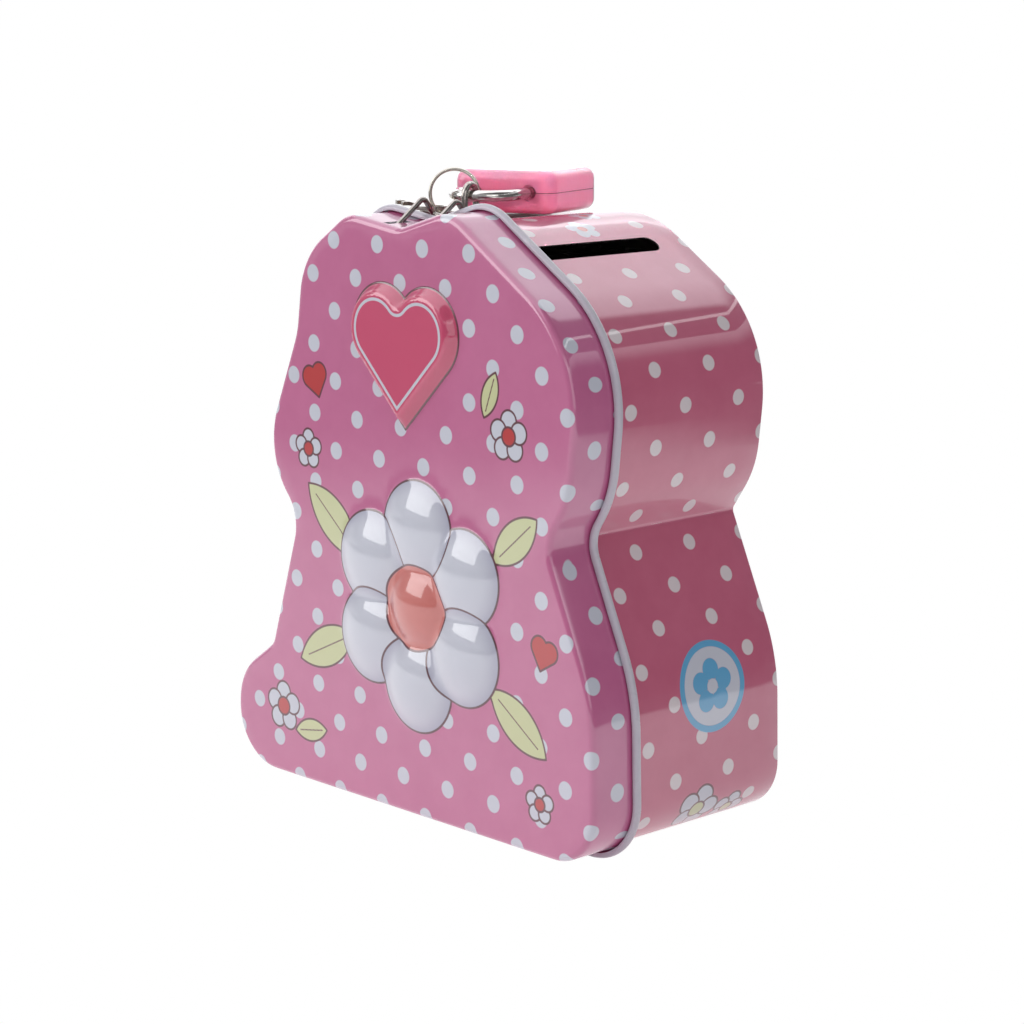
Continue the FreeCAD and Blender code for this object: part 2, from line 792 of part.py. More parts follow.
for name, sign in (("left", "-"), ("right", "")):
    case_bores.append(rod(
        f"leg_rim_{name}", "y", f"{sign}shackle_span / 2", "shackle_reach - case_wall", "0",
        "shackle_rim / 2", "case_wall + shackle_rim_deep",
    ))
    case_bores.append(rod(
        f"pin_bore_{name}", "z", f"{sign}case_pin_across", pin_deep, "-case_pin_long / 2 - latch_gap",
        "case_pin / 2 + case_pin_fit", "case_pin_long + 2 * latch_gap",
    ))
case_whole = cut("case_whole", joined("case_filled", *case_parts), *case_bores)
upper_space = block(
    "upper_space", "-case_width", "0", "0", "2 * case_width", "shackle_reach + 2 * case_length", "case_thick",
)
lower_space = block(
    "lower_space", "-case_width", "0", "-case_thick", "2 * case_width", "shackle_reach + 2 * case_length",
    "case_thick",
)
finished(common("padlock_case_upper", case_whole, upper_space), "padlock_case_upper", LOCK)
finished(common("padlock_case_lower", case_whole, lower_space), "padlock_case_lower", LOCK)

dowels = [
    rod(
        f"dowel_{name}", "z", f"{sign}case_pin_across", pin_deep, "-case_pin_long / 2", "case_pin / 2",
        "case_pin_long",
    )
    for name, sign in (("left", "-"), ("right", ""))
]
finished(joined("case_pins", *dowels), "case_pins", LOCK)


# Shackle: bent rod, collar on the heel, ramped notch in the toe.

span = size("shackle_span") / 2
reach = size("shackle_reach")
rod_half = size("shackle_rod") / 2
heel_end = Vector(-span, reach + size("case_length") - size("heel_from_rear"), 0)
toe_end = Vector(span, reach + size("toe_depth"), 0)
bend_left = Vector(-span, span, 0)
bend_right = Vector(span, span, 0)
shackle_path = Part.Wire([
    Part.LineSegment(heel_end, bend_left).toShape(),
    Part.Arc(bend_left, Vector(), bend_right).toShape(),
    Part.LineSegment(bend_right, toe_end).toShape(),
])
shackle = drawn_wire(shackle_path, heel_end, Vector(0, -1, 0), size("shackle_rod"))
collar_long = size("heel_collar_long")
collar_start = heel_end - Vector(0, collar_long, 0)
shackle = shackle.fuse(Part.makeCylinder(size("heel_collar") / 2, collar_long, collar_start, Vector(0, 1, 0)))
notch_floor = span - rod_half + size("notch_depth")
latch_front = reach + size("latch_from_face")
latch_rear = latch_front + size("latch_thick")
ramp = size("notch_depth") * size("release_travel") / size("latch_travel")
notch_points = [
    Vector(span - 2 * rod_half, latch_front - size("latch_gap"), -rod_half),
    Vector(notch_floor, latch_front - size("latch_gap"), -rod_half),
    Vector(notch_floor, latch_rear + 2 * size("latch_gap"), -rod_half),
    Vector(span - rod_half, latch_rear + 2 * size("latch_gap") + ramp, -rod_half),
    Vector(span - 2 * rod_half, latch_rear + 2 * size("latch_gap") + ramp, -rod_half),
]
notch = Part.Face(Part.makePolygon(notch_points + notch_points[:1])).extrude(Vector(0, 0, 2 * rod_half))
piece("padlock_shackle", shackle.cut(notch)).Placement = LOCK


# Lock works: plug with crank pin and keyway, its clip, latch bolt and spring.

crank = "(latch_travel / 2)"
plug_start = "(shackle_reach + plug_from_face)"
plug_parts = [
    rod("plug_barrel", "y", "0", plug_start, "0", "plug_diameter / 2", "case_length - plug_from_face"),
    rod("plug_cap", "y", "0", f"{rear_face} - plug_head_long + plug_fit", "0", "plug_head / 2", "plug_head_long"),
    rod(
        "plug_crank", "y", crank, "shackle_reach + latch_from_face", crank, "crank_pin / 2",
        "plug_from_face - latch_from_face + clip_wall",
    ),
]
keyway = block(
    "plug_keyway", "-keyway_width / 2", f"{rear_face} - keyway_deep", "-keyway_high / 2",
    "keyway_width", "keyway_deep + plug_head_long", "keyway_high",
)
groove_start = "(shackle_reach + cradle_from_face - 2 * clip_gap - clip_wall)"
groove_outer = rod("groove_outer", "y", "0", groove_start, "0", "plug_diameter", "clip_wall + clip_gap")
groove_core = rod("groove_core", "y", "0", groove_start, "0", "clip_groove", "clip_wall + clip_gap")
groove = cut("plug_groove", groove_outer, groove_core)
finished(cut("lock_plug", joined("plug_solid", *plug_parts), keyway, groove), "lock_plug", LOCK)

clip_start = f"{groove_start} + clip_gap / 2"
clip_disc = rod("clip_disc", "y", "0", clip_start, "0", "clip_radius", "clip_wall")
clip_hole = rod("clip_hole", "y", "0", clip_start, "0", "clip_groove + plug_fit", "clip_wall")
clip_mouth = block(
    "clip_mouth", "-clip_groove * 0.7", clip_start, "-2 * clip_radius", "clip_groove * 1.4", "clip_wall",
    "2 * clip_radius",
)
finished(cut("plug_clip", clip_disc, clip_hole, clip_mouth), "plug_clip", LOCK)

nose_tip = "(shackle_span / 2 - shackle_rod / 2 + notch_depth - latch_gap)"
latch_start = "(shackle_reach + latch_from_face)"
latch_parts = [
    block(
        "latch_plate", "-latch_tail", latch_start, "-latch_low", f"{nose_tip} - nose_long + latch_tail",
        "latch_thick", "latch_low + latch_high",
    ),
    block("latch_nose", f"{nose_tip} - 2 * nose_long", latch_start, "-latch_low", "2 * nose_long", "latch_thick",
          "2 * latch_low"),
]
latch_slot = block(
    "latch_slot", f"{crank} - crank_pin / 2 - crank_gap", f"{latch_start} - latch_thick",
    f"{crank} - crank_pin / 2 - crank_gap", "crank_pin + 2 * crank_gap", "3 * latch_thick",
    f"0.42 * {crank} + crank_pin + 2 * crank_gap",
)
finished(cut("latch_bolt", joined("latch_solid", *latch_parts), latch_slot), "latch_bolt", LOCK)

seat_face = -span + rod_half + size("seat_from_leg") + size("seat_wall")
spring_long = -size("latch_tail") - seat_face - size("spring_wire") - 2 * size("latch_gap")
spring_angle = 2 * math.pi * size("spring_turns")
spring_steps = math.ceil(4 * size("spring_turns"))
spring = wound_wire(
    [spring_angle * i / spring_steps for i in range(spring_steps + 1)],
    size("spring_radius"),
    lambda angle: spring_long * angle / spring_angle,
    lambda angle: spring_long / spring_angle,
    size("spring_wire"),
)
spring_start = Vector(
    seat_face + size("spring_wire") / 2 + size("latch_gap"), latch_front + size("latch_thick") / 2, 0,
)
piece("latch_spring", spring).Placement = LOCK.multiply(Placement(spring_start, ALONG["x"]))


# Split ring on the shackle's bend, standing on the band, and two keys lying flat beside the case.

ring_turn = math.radians(size("ring_turn"))
ring_away = Vector(-math.cos(ring_turn), -math.sin(ring_turn), 0)
ring_spot = Vector(0, span, 0) + ring_away * span
ring_foot = LOCK.multVec(ring_spot)
ring_half = size("ring_radius") + size("ring_wire") / 2
band_under_ring = top_height(BAND, BAND_OUT, ring_foot.x + MIDDLE_ACROSS)
ring_spot.z = band_under_ring + size("ring_gap") + ring_half - LOCK_UP
JOG_START = math.radians(300)
JOG_END = math.radians(420)


def ring_rise(angle):
    """Height of the ring's wire: a flat turn, a step sideways and a second flat turn."""
    share = min(max((angle - JOG_START) / (JOG_END - JOG_START), 0.0), 1.0)
    return size("ring_pitch") * (share * share * (3 - 2 * share) - 0.5)


def ring_slope(angle):
    """Climb of the ring's wire."""
    share = min(max((angle - JOG_START) / (JOG_END - JOG_START), 0.0), 1.0)
    return size("ring_pitch") * 6 * share * (1 - share) / (JOG_END - JOG_START)


RING_STEPS = 23
ring = wound_wire(
    [math.radians(30 * i) for i in range(RING_STEPS + 1)],
    size("ring_radius"), ring_rise, ring_slope, size("ring_wire"),
)
ring_normal = Vector(-ring_away.y, ring_away.x, 0)
ring_place = LOCK.multiply(Placement(ring_spot, Rotation(Vector(0, 0, 1), ring_normal)))
piece("key_ring", ring).Placement = ring_place

under_keys = [ring_foot.x + MIDDLE_ACROSS - share * size("key_long") for share in (0, 0.2, 0.4, 0.6, 0.8)]
key_rest = max(top_height(BAND, BAND_OUT, x) for x in under_keys) + size("key_gap") - LOCK_UP
key_up = max(key_rest, ring_spot.z - size("key_hang"))
KEY_HOLES = []
for index, name in enumerate(("key_1", "key_2")):
    key_parts = [
        rod(f"{name}_bow", "z", "key_hole_off", "0", "0", "key_bow", "key_wall"),
        block(f"{name}_blade", "key_hole_off", "-key_blade / 2", "0", "key_long - key_hole_off", "key_blade", "key_wall"),
        block(f"{name}_bit", "key_long - 2 * key_bit", "0", "0", "key_bit", "key_blade / 2 + key_bit", "key_wall"),
        block(f"{name}_ward", "key_long - 5 * key_bit", "0", "0", "key_bit", "key_blade / 2 + key_bit", "key_wall"),
    ]
    key_eye = rod(f"{name}_eye", "z", "0", "0", "-key_wall", "key_hole", "3 * key_wall")
    level = key_up + index * (size("key_wall") + size("key_gap"))
    below = ring_spot.z - level - size("key_wall") / 2
    aside = math.sqrt(max(size("ring_radius") ** 2 - below ** 2, 0.0))
    hole = Vector(ring_spot.x + ring_away.x * aside, ring_spot.y + ring_away.y * aside, level)
    lying = Rotation(Vector(0, 0, 1), size(f"key_angle_{index + 1}"))
    key_place = LOCK.multiply(Placement(hole, lying))
    finished(cut(name, joined(f"{name}_solid", *key_parts), key_eye), name, key_place)
    KEY_HOLES.append(LOCK.multVec(hole))

doc.recompute()

# Every piece is checked before it is written.
for feature in doc.Objects:
    if "Invalid" in feature.State or "Error" in feature.State:
        raise RuntimeError(f"{feature.Label} did not build")
for feature in pieces:
    shape = feature.Shape
    if shape.isNull() or not shape.isValid():
        raise RuntimeError(f"{feature.Label} is not a valid solid")
    shape.exportStep(f"parts/{feature.Label}.step")
    box = shape.BoundBox
    print(
        f"{feature.Label}: {len(shape.Solids)} solid, {shape.Volume:.1f} mm3, "
        f"X {box.XMin:.2f}..{box.XMax:.2f} Y {box.YMin:.2f}..{box.YMax:.2f} Z {box.ZMin:.2f}..{box.ZMax:.2f}"
    )

# Pivots and directions of the moving pieces.
print("hinge", HINGE.Base)
print("bail pivot", at(0, size("bail_pivot"), BAIL_UP))
print("lock", LOCK.Base, "across", LOCK_YAW.multVec(Vector(1, 0, 0)), "along", LOCK_YAW.multVec(Vector(0, 1, 0)))
print("ring", LOCK.multVec(ring_spot), "normal", LOCK_YAW.multVec(ring_normal))
print("key holes", KEY_HOLES)
print("key ring self gap", size("ring_pitch") - size("ring_wire"))
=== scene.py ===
"""Looks of a tin money box: printed lid and band, hasp, padlock, ring and keys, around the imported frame."""

import logging
import math
from collections.abc import Callable
from dataclasses import dataclass, field, replace
from enum import Enum
from functools import cache

import bpy
import numpy as np
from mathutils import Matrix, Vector
from mathutils.geometry import delaunay_2d_cdt


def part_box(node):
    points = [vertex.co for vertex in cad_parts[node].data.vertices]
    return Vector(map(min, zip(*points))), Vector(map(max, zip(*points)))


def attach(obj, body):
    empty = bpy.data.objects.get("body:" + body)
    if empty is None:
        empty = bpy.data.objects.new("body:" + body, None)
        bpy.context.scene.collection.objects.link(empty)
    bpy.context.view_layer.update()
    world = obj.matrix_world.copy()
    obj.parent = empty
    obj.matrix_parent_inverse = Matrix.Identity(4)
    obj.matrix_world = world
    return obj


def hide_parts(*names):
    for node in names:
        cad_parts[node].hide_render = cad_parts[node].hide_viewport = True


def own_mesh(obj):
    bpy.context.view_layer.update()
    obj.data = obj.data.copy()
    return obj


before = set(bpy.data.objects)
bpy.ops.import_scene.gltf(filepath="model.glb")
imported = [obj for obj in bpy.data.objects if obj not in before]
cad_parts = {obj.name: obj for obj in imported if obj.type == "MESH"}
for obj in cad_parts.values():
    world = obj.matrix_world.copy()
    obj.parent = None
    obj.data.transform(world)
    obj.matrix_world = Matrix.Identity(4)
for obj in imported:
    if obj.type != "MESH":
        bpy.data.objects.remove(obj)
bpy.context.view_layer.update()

Point2 = tuple[float, float]
Point3 = tuple[float, float, float]
Socket = bpy.types.NodeSocket
Feed = float | tuple | Socket

MM = 0.001
LOG = logging.getLogger("money_box")


class Ink(Enum):
    """Inks of the printed sheet, each with its colour."""

    WHITE = "#DADDE9"
    ROSE = "#D8406F"
    CORAL = "#DE7A72"
    RED = "#C81F22"
    LEAF = "#D9DDA6"
    BLUE = "#62B4E2"
    LINE = "#5E1B2E"

    @property
    def attribute(self) -> str:
        """Name of the mesh attribute that holds the distance to this ink's edge in mm."""
        return f"ink_{self.name.lower()}"


class Body(Enum):
    """Moving bodies of the frame that carry new pieces."""

    BOX = "box"
    LID = "lid"
    CASE = "case"


def linear(colour: str) -> tuple[float, float, float, float]:
    """Turns an sRGB hex colour to linear.

    Args:
        colour: Colour such as "#C86496".

    Returns:
        Linear red, green, blue and full alpha.
    """
    parts = [int(colour[i:i + 2], 16) / 255 for i in (1, 3, 5)]
    straight = [c / 12.92 if c <= 0.04045 else ((c + 0.055) / 1.055) ** 2.4 for c in parts]
    return (*straight, 1.0)


def feed(node: bpy.types.Node, inputs: dict[str | int, Feed]) -> None:
    """Sets or links the inputs of a node.

    Args:
        node: Node that is fed.
        inputs: Value or linked socket for each input, by name or number.
    """
    for key, value in inputs.items():
        if isinstance(value, Socket):
            node.id_data.links.new(value, node.inputs[key])
        else:
            node.inputs[key].default_value = value


def add_node(tree: bpy.types.NodeTree, kind: str, inputs: dict | None = None, **settings) -> bpy.types.Node:
    """Adds a node with its settings and links.

    Args:
        tree: Tree that gets the node.
        kind: Type of the node.
        inputs: Value or linked socket for each input, by name or number.
        settings: Properties of the node.

    Returns:
        The new node.
    """
    node = tree.nodes.new(kind)
    for name, value in settings.items():
        setattr(node, name, value)
    feed(node, inputs or {})
    return node


@dataclass(frozen=True)
class Wiring:
    """Nodes that recur in the materials and the world."""

    tree: bpy.types.NodeTree

    def ramp(
        self, value: Feed, ends: Point2, low: Feed = 0.0, high: Feed = 1.0, kind: str = "LINEAR",
    ) -> Socket:
        """Ramp from low to high while the value goes from one end to the other."""
        limits = {"Value": value, "From Min": ends[0], "From Max": ends[1], "To Min": low, "To Max": high}
        return add_node(self.tree, "ShaderNodeMapRange", limits, interpolation_type=kind).outputs[0]

    def ease(self, value: Feed, ends: Point2, low: Feed = 0.0, high: Feed = 1.0) -> Socket:
        """Ramp that starts and ends gently."""
        return self.ramp(value, ends, low, high, "SMOOTHSTEP")

    def mix(self, share: Feed, first: Feed, second: Feed, blend: str = "MIX") -> Socket:
        """Blend of two colours."""
        parts = {0: share, 6: first, 7: second}
        return add_node(self.tree, "ShaderNodeMix", parts, data_type="RGBA", blend_type=blend).outputs[2]

    def maths(self, operation: str, *values: Feed) -> Socket:
        """Result of an operation on numbers."""
        return add_node(self.tree, "ShaderNodeMath", dict(enumerate(values)), operation=operation).outputs[0]

    def vector(self, operation: str, *values: Feed) -> bpy.types.Node:
        """Operation on vectors."""
        return add_node(self.tree, "ShaderNodeVectorMath", dict(enumerate(values)), operation=operation)

    def place(self) -> Socket:
        """Coordinates on the object."""
        return add_node(self.tree, "ShaderNodeTexCoord").outputs["Object"]

    def stretched(self, spot: Socket, scale: Point3) -> Socket:
        """Coordinates stretched along each axis."""
        return add_node(self.tree, "ShaderNodeMapping", {"Vector": spot, "Scale": scale}).outputs[0]

    def noise(self, spot: Socket, size: float, detail: float, roughness: float = 0.5) -> Socket:
        """Noise whose features have that size in mm."""
        parts = {"Vector": spot, "Scale": 1 / (size * MM), "Detail": detail, "Roughness": roughness}
        return add_node(self.tree, "ShaderNodeTexNoise", parts).outputs["Fac"]

    def bump(self, height: Socket, strength: float, distance: float, **under: Socket) -> Socket:
        """Bump that stands up by a distance in mm, over the one given as Normal."""
        parts = {"Height": height, "Strength": strength, "Distance": distance * MM, **under}
        return add_node(self.tree, "ShaderNodeBump", parts).outputs[0]

    def stored(self, name: str) -> bpy.types.Node:
        """What the mesh holds under that name."""
        return add_node(self.tree, "ShaderNodeAttribute", attribute_name=name)


# Outline of the box's front, in mm across from the middle line and up from the face's lower edge.


@dataclass(frozen=True)
class Corner:
    """Corner of the front outline."""

    across: float
    up: float
    rounding: float


@dataclass(frozen=True)
class Spot:
    """Place on the outline and the way out of it."""

    along: float
    across: float
    up: float
    out_across: float
    out_up: float

    def moved(self, out: float) -> Point2:
        """Place across and up, moved outwards."""
        return self.across + self.out_across * out, self.up + self.out_up * out


@dataclass(frozen=True)
class Run:
    """Straight run or arc of the outline."""

    start: float
    length: float
    heading: float
    turn: float
    across: float
    up: float

    def spot(self, along: float) -> Spot:
        """Finds a spot on this run.

        Args:
            along: Distance along the whole outline.

        Returns:
            The spot there.
        """
        share = (along - self.start) / self.length
        heading = self.heading + self.turn * share
        out = (math.sin(heading), -math.cos(heading))
        if self.turn == 0.0:
            step = along - self.start
            place = (self.across + step * math.cos(heading), self.up + step * math.sin(heading))
        else:
            radius = self.length / self.turn
            first = (math.sin(self.heading), -math.cos(self.heading))
            place = (self.across + radius * (out[0] - first[0]), self.up + radius * (out[1] - first[1]))
        return Spot(along, *place, *out)


# Height between the outline's upper and lower sides, least step along it, and how finely it is searched.
HALF_UP = 60.0
LEAST_STEP = 0.05
OUTLINE_SAMPLES = 900
SEARCH_SAMPLES = 6000
SEARCH_ROUNDS = 4

FRONT_CORNERS = {
    "foot_right": Corner(63.0, 0.0, 13.0),
    "flank_right": Corner(62.0, 38.0, 46.5),
    "waist_right": Corner(47.5, 70.5, 9.0),
    "side_right": Corner(54.5, 81.0, 25.0),
    "shoulder_right": Corner(58.0, 114.0, 31.5),
    "peak_right": Corner(16.5, 141.0, 12.0),
    "dip": Corner(-0.5, 136.0, 8.0),
    "peak_left": Corner(-18.5, 138.5, 10.0),
    "shoulder_left": Corner(-35.0, 127.5, 18.5),
    "hollow_left": Corner(-37.5, 109.5, 18.5),
    "side_left": Corner(-50.5, 79.0, 19.5),
    "waist_left": Corner(-38.0, 65.0, 10.0),
    "ledge_left": Corner(-48.5, 32.0, 4.5),
    "bulge_left": Corner(-62.0, 22.5, 14.0),
    "foot_left": Corner(-63.0, 0.0, 14.0),
}


class Outline:
    """Closed outline of straight runs and arcs, anticlockwise seen from the front."""

    def __init__(self, roundings: dict[str, float] | None = None) -> None:
        """Lays the runs out.

        Args:
            roundings: Radii that replace those of named corners.
        """
        roundings = roundings or {}
        names = list(FRONT_CORNERS)
        corners = [FRONT_CORNERS[n] for n in names]
        bends = []
        for i, (name, corner) in enumerate(zip(names, corners)):
            before = corners[i - 1]
            after = corners[(i + 1) % len(corners)]
            heading = math.atan2(corner.up - before.up, corner.across - before.across)
            leaving = math.atan2(after.up - corner.up, after.across - corner.across)
            turn = (leaving - heading + math.pi) % (2 * math.pi) - math.pi
            radius = roundings.get(name, corner.rounding)
            bends.append((corner, heading, turn, radius, radius * math.tan(abs(turn) / 2)))
        self.runs: list[Run] = []
        along = 0.0
        for i, (corner, heading, turn, radius, reach) in enumerate(bends):
            start = (corner.across - reach * math.cos(heading), corner.up - reach * math.sin(heading))
            self.runs.append(Run(along, radius * abs(turn), heading, turn, *start))
            along += radius * abs(turn)
            leaving = heading + turn
            end = (corner.across + reach * math.cos(leaving), corner.up + reach * math.sin(leaving))
            after, _, _, _, next_reach = bends[(i + 1) % len(bends)]
            side = math.hypot(after.across - corner.across, after.up - corner.up)
            self.runs.append(Run(along, side - reach - next_reach, leaving, 0.0, *end))
            along += side - reach - next_reach
        self.length = along

    def spot(self, along: float) -> Spot:
        """Spot at that distance along the outline."""
        onwards = (run for run in self.runs if along <= run.start + run.length)
        return next(onwards, self.runs[-1]).spot(along)

    def run_after(self, name: str) -> Run:
        """Straight run that follows the named corner."""
        return self.runs[2 * list(FRONT_CORNERS).index(name) + 1]

    def crossing(self, across: float, upper: bool) -> float:
        """Distance along the outline where its upper or lower side is at that place across.

        Args:
            across: Place across the face.
            upper: Whether the upper side is meant.

        Returns:
            Distance along the outline.
        """
        spots = [self.spot(s) for s in np.linspace(0, self.length, SEARCH_SAMPLES)]
        side = [spot for spot in spots if (spot.up > HALF_UP) == upper]
        along = min(side, key=lambda spot: abs(spot.across - across)).along
        for _ in range(SEARCH_ROUNDS):
            spot = self.spot(along)
            along += (across - spot.across) / -spot.out_up
        return along

    def stations(
        self, breaks: list[float], line_step: float, arc_step: float, arc_degrees: float,
    ) -> list[Spot]:
        """Spots close enough for a smooth sheet.

        Args:
            breaks: Distances that have to be among the stations.
            line_step: Longest step on a straight run.
            arc_step: Longest step on an arc.
            arc_degrees: Largest turn in one step.

        Returns:
            Spots in order, without the closing one.
        """
        marks = set(breaks)
        for run in self.runs:
            count = math.ceil(run.length / (arc_step if run.turn else line_step))
            count = max(count, math.ceil(abs(math.degrees(run.turn)) / arc_degrees), 1)
            marks.update(run.start + run.length * i / count for i in range(count))
        kept: list[float] = []
        for mark in sorted(marks):
            if kept and mark - kept[-1] < LEAST_STEP:
                if mark in breaks:
                    kept[-1] = mark
                continue
            kept.append(mark)
        return [self.spot(s) for s in kept]


LID_OUTLINE = Outline()
BAND_OUTLINE = Outline({"waist_right": 0.8, "waist_left": 0.8, "peak_right": 32.0, "peak_left": 29.0})


# Depth of the lid's skirt, radius of its curl and how far the curl's middle stands out, in mm.
SKIRT_DEPTH = 12.7
CURL_RADIUS = 1.0
CURL_OUT = 0.8


def face_corner() -> Vector:
    """Finds where the outline's zero lies in the frame, from the lid's node.

    Returns:
        The place in metres.
    """
    low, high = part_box("lid_shell")
    reach = [LID_OUTLINE.spot(s).across for s in np.linspace(0, LID_OUTLINE.length, OUTLINE_SAMPLES)]
    face = high.y / MM - SKIRT_DEPTH - CURL_RADIUS
    lower = low.z / MM + CURL_OUT + CURL_RADIUS
    return Vector((-(min(reach) + max(reach)) / 2, face, lower)) * MM


ORIGIN = face_corner()
MIDDLE = -ORIGIN.x / MM
FLOOR_UP = -ORIGIN.z / MM


def to_frame(across: float, deep: float, up: float) -> Vector:
    """Point in metres in the frame from mm across, behind and up the face."""
    return ORIGIN + Vector((across, deep, up)) * MM


# Printed shapes: signed distances in mm, negative inside.


def away(spots: np.ndarray, centre: Point2) -> np.ndarray:
    """Distance of each point from a centre."""
    return np.hypot(*(spots - centre).T)


def turned(spots: np.ndarray, middle: Point2, degrees: float) -> tuple[np.ndarray, np.ndarray]:
    """Coordinates about a middle, along and across a direction.

    Args:
        spots: Points on the flat sheet.
        middle: Where the shape's middle is.
        degrees: How far the shape is turned.

    Returns:
        Coordinates along and across the shape.
    """
    cos, sin = math.cos(math.radians(degrees)), math.sin(math.radians(degrees))
    dx, dz = (spots - middle).T
    return dx * cos + dz * sin, dz * cos - dx * sin


@dataclass(frozen=True)
class Daisy:
    """Flower of round petals about an eye."""

    across: float
    up: float
    ring: float
    petal: float
    eye: float
    petals: int
    first: float = 30.0

    def centres(self) -> list[Point2]:
        """Middles of the petals."""
        turns = [math.radians(self.first + 360 * i / self.petals) for i in range(self.petals)]
        return [(self.across + self.ring * math.cos(t), self.up + self.ring * math.sin(t)) for t in turns]

    def petal_distances(self, spots: np.ndarray) -> list[np.ndarray]:
        """Distance to the edge of each petal."""
        return [away(spots, centre) - self.petal for centre in self.centres()]

    def eye_distance(self, spots: np.ndarray) -> np.ndarray:
        """Distance to the edge of the eye."""
        return away(spots, (self.across, self.up)) - self.eye


def small_daisy(
    across: float, up: float, size: float, petal: float, eye: float, first: float = 90.0,
) -> Daisy:
    """Small flower of five petals, with petals and eye as shares of its size."""
    return Daisy(across, up, size, size * petal, size * eye, petals=5, first=first)


@dataclass(frozen=True)
class Heart:
    """Heart with round lobes and a square tip."""

    across: float
    up: float
    half: float
    tilt: float = 0.0
    tip_below: float = 0.55

    def distance(self, spots: np.ndarray) -> np.ndarray:
        """Distance to the heart's edge, worked out with its tip at 0 and its cleft at 1.

        Args:
            spots: Points on the flat sheet.

        Returns:
            Signed distance of every point.
        """
        lobe = math.sqrt(2) / 4
        scale = self.half / (0.25 + lobe)
        u, v = turned(spots, (self.across, self.up), self.tilt)
        u, v = np.abs(u) / scale, v / scale + self.tip_below
        upper = np.hypot(u - 0.25, v - 0.75) - lobe
        foot = np.maximum(u + v, 0) / 2
        side = np.hypot(u - foot, v - foot)
        cleft = np.hypot(u, v - 1.0)
        lower = np.minimum(side, cleft) * np.sign(u - v)
        return np.where(u + v > 1.0, upper, lower) * scale


@dataclass(frozen=True)
class Leaf:
    """Leaf between two arcs, with a middle vein."""

    across: float
    up: float
    length: float
    width: float
    turn: float
    vein_share: float = 0.7

    def distances(self, spots: np.ndarray) -> tuple[np.ndarray, np.ndarray]:
        """Distances to the leaf's edge and to its vein.

        Args:
            spots: Points on the flat sheet.

        Returns:
            Signed distance to the edge, and distance to the vein.
        """
        u, v = turned(spots, (self.across, self.up), self.turn)
        half = self.length / 2
        radius = (half * half + self.width ** 2 / 4) / self.width
        drop = radius - self.width / 2
        edge = np.hypot(u, np.abs(v) + drop) - radius
        vein = np.maximum(np.abs(v), np.abs(u) - half * self.vein_share)
        return edge, vein


class InkPlate:
    """Inks laid on a sheet, one over the other."""

    line: float = 0.5
    vein_half: float = 1 / 6
    far: float = 50.0

    def __init__(self, spots: np.ndarray) -> None:
        """Starts a bare plate.

        Args:
            spots: Points on the flat sheet in mm.
        """
        self.spots = spots
        self.inks = {ink: np.full(len(spots), self.far) for ink in Ink}
        self.shade = np.zeros(len(spots))

    def lay(self, ink: Ink, distance: np.ndarray, line: bool = True, shade: float = 0.0) -> None:
        """Lays a shape over what is there.

        Args:
            ink: Ink of the shape.
            distance: Signed distance to its edge.
            line: Whether its edge is drawn.
            shade: Width of the soft shading inside its edge.
        """
        for other in self.inks:
            self.inks[other] = np.maximum(self.inks[other], -distance)
        self.inks[ink] = np.minimum(self.inks[ink], distance)
        self.shade = np.where(distance < 0, 0.0, self.shade)
        if shade:
            depth = np.clip(1 + distance / shade, 0, 1)
            self.shade = np.where(distance < 0, depth * depth, self.shade)
        if line:
            self.inks[Ink.LINE] = np.minimum(self.inks[Ink.LINE], np.abs(distance) - self.line / 2)

    def daisy(self, flower: Daisy, petals: Ink, eye: Ink, shade: float = 0.0, line: bool = True) -> None:
        """Lays a flower, petal by petal, and its eye.

        Args:
            flower: Flower that is laid.
            petals: Ink of the petals.
            eye: Ink of the eye.
            shade: Width of the soft shading inside each petal's edge.
            line: Whether the edges are drawn.
        """
        for distance in flower.petal_distances(self.spots):
            self.lay(petals, distance, line, shade)
        self.lay(eye, flower.eye_distance(self.spots), line)

    def leaf(self, shape: Leaf) -> None:
        """Lays a leaf and its vein.

        Args:
            shape: Leaf that is laid.
        """
        edge, vein = shape.distances(self.spots)
        self.lay(Ink.LEAF, edge)
        self.inks[Ink.LINE] = np.minimum(self.inks[Ink.LINE], vein - self.vein_half)

    def near_edge(self, limit: float) -> np.ndarray:
        """Whether each point is that close to the edge of an ink."""
        return np.min([np.abs(d) for d in self.inks.values()], axis=0) < limit

    def write(self, mesh: bpy.types.Mesh, flat: np.ndarray) -> None:
        """Stores the inks and the flat sheet's coordinates on the mesh.

        Args:
            mesh: Mesh whose points the plate was laid on.
            flat: Coordinates of every point on the flat sheet in mm.
        """
        layers = {ink.attribute: edge for ink, edge in self.inks.items() if edge.min() < self.far}
        for name, values in {**layers, "ink_shade": self.shade}.items():
            layer = mesh.attributes.new(name, "FLOAT", "POINT")
            layer.data.foreach_set("value", values.astype(np.float32))
        layer = mesh.attributes.new("print_mm", "FLOAT_VECTOR", "POINT")
        spots = np.column_stack((flat, np.zeros(len(flat))))
        layer.data.foreach_set("vector", spots.astype(np.float32).ravel())


# Finishes.

# Values between which noise mostly lies.
NOISE_ENDS = (0.3, 0.7)


def blank(name: str) -> tuple[bpy.types.Material, Wiring, bpy.types.Node]:
    """Starts a material.

    Args:
        name: Name of the material.

    Returns:
        The material, its wiring and its shader.
    """
    made = bpy.data.materials.new(name)
    made.use_nodes = True
    return made, Wiring(made.node_tree), made.node_tree.nodes["Principled BSDF"]


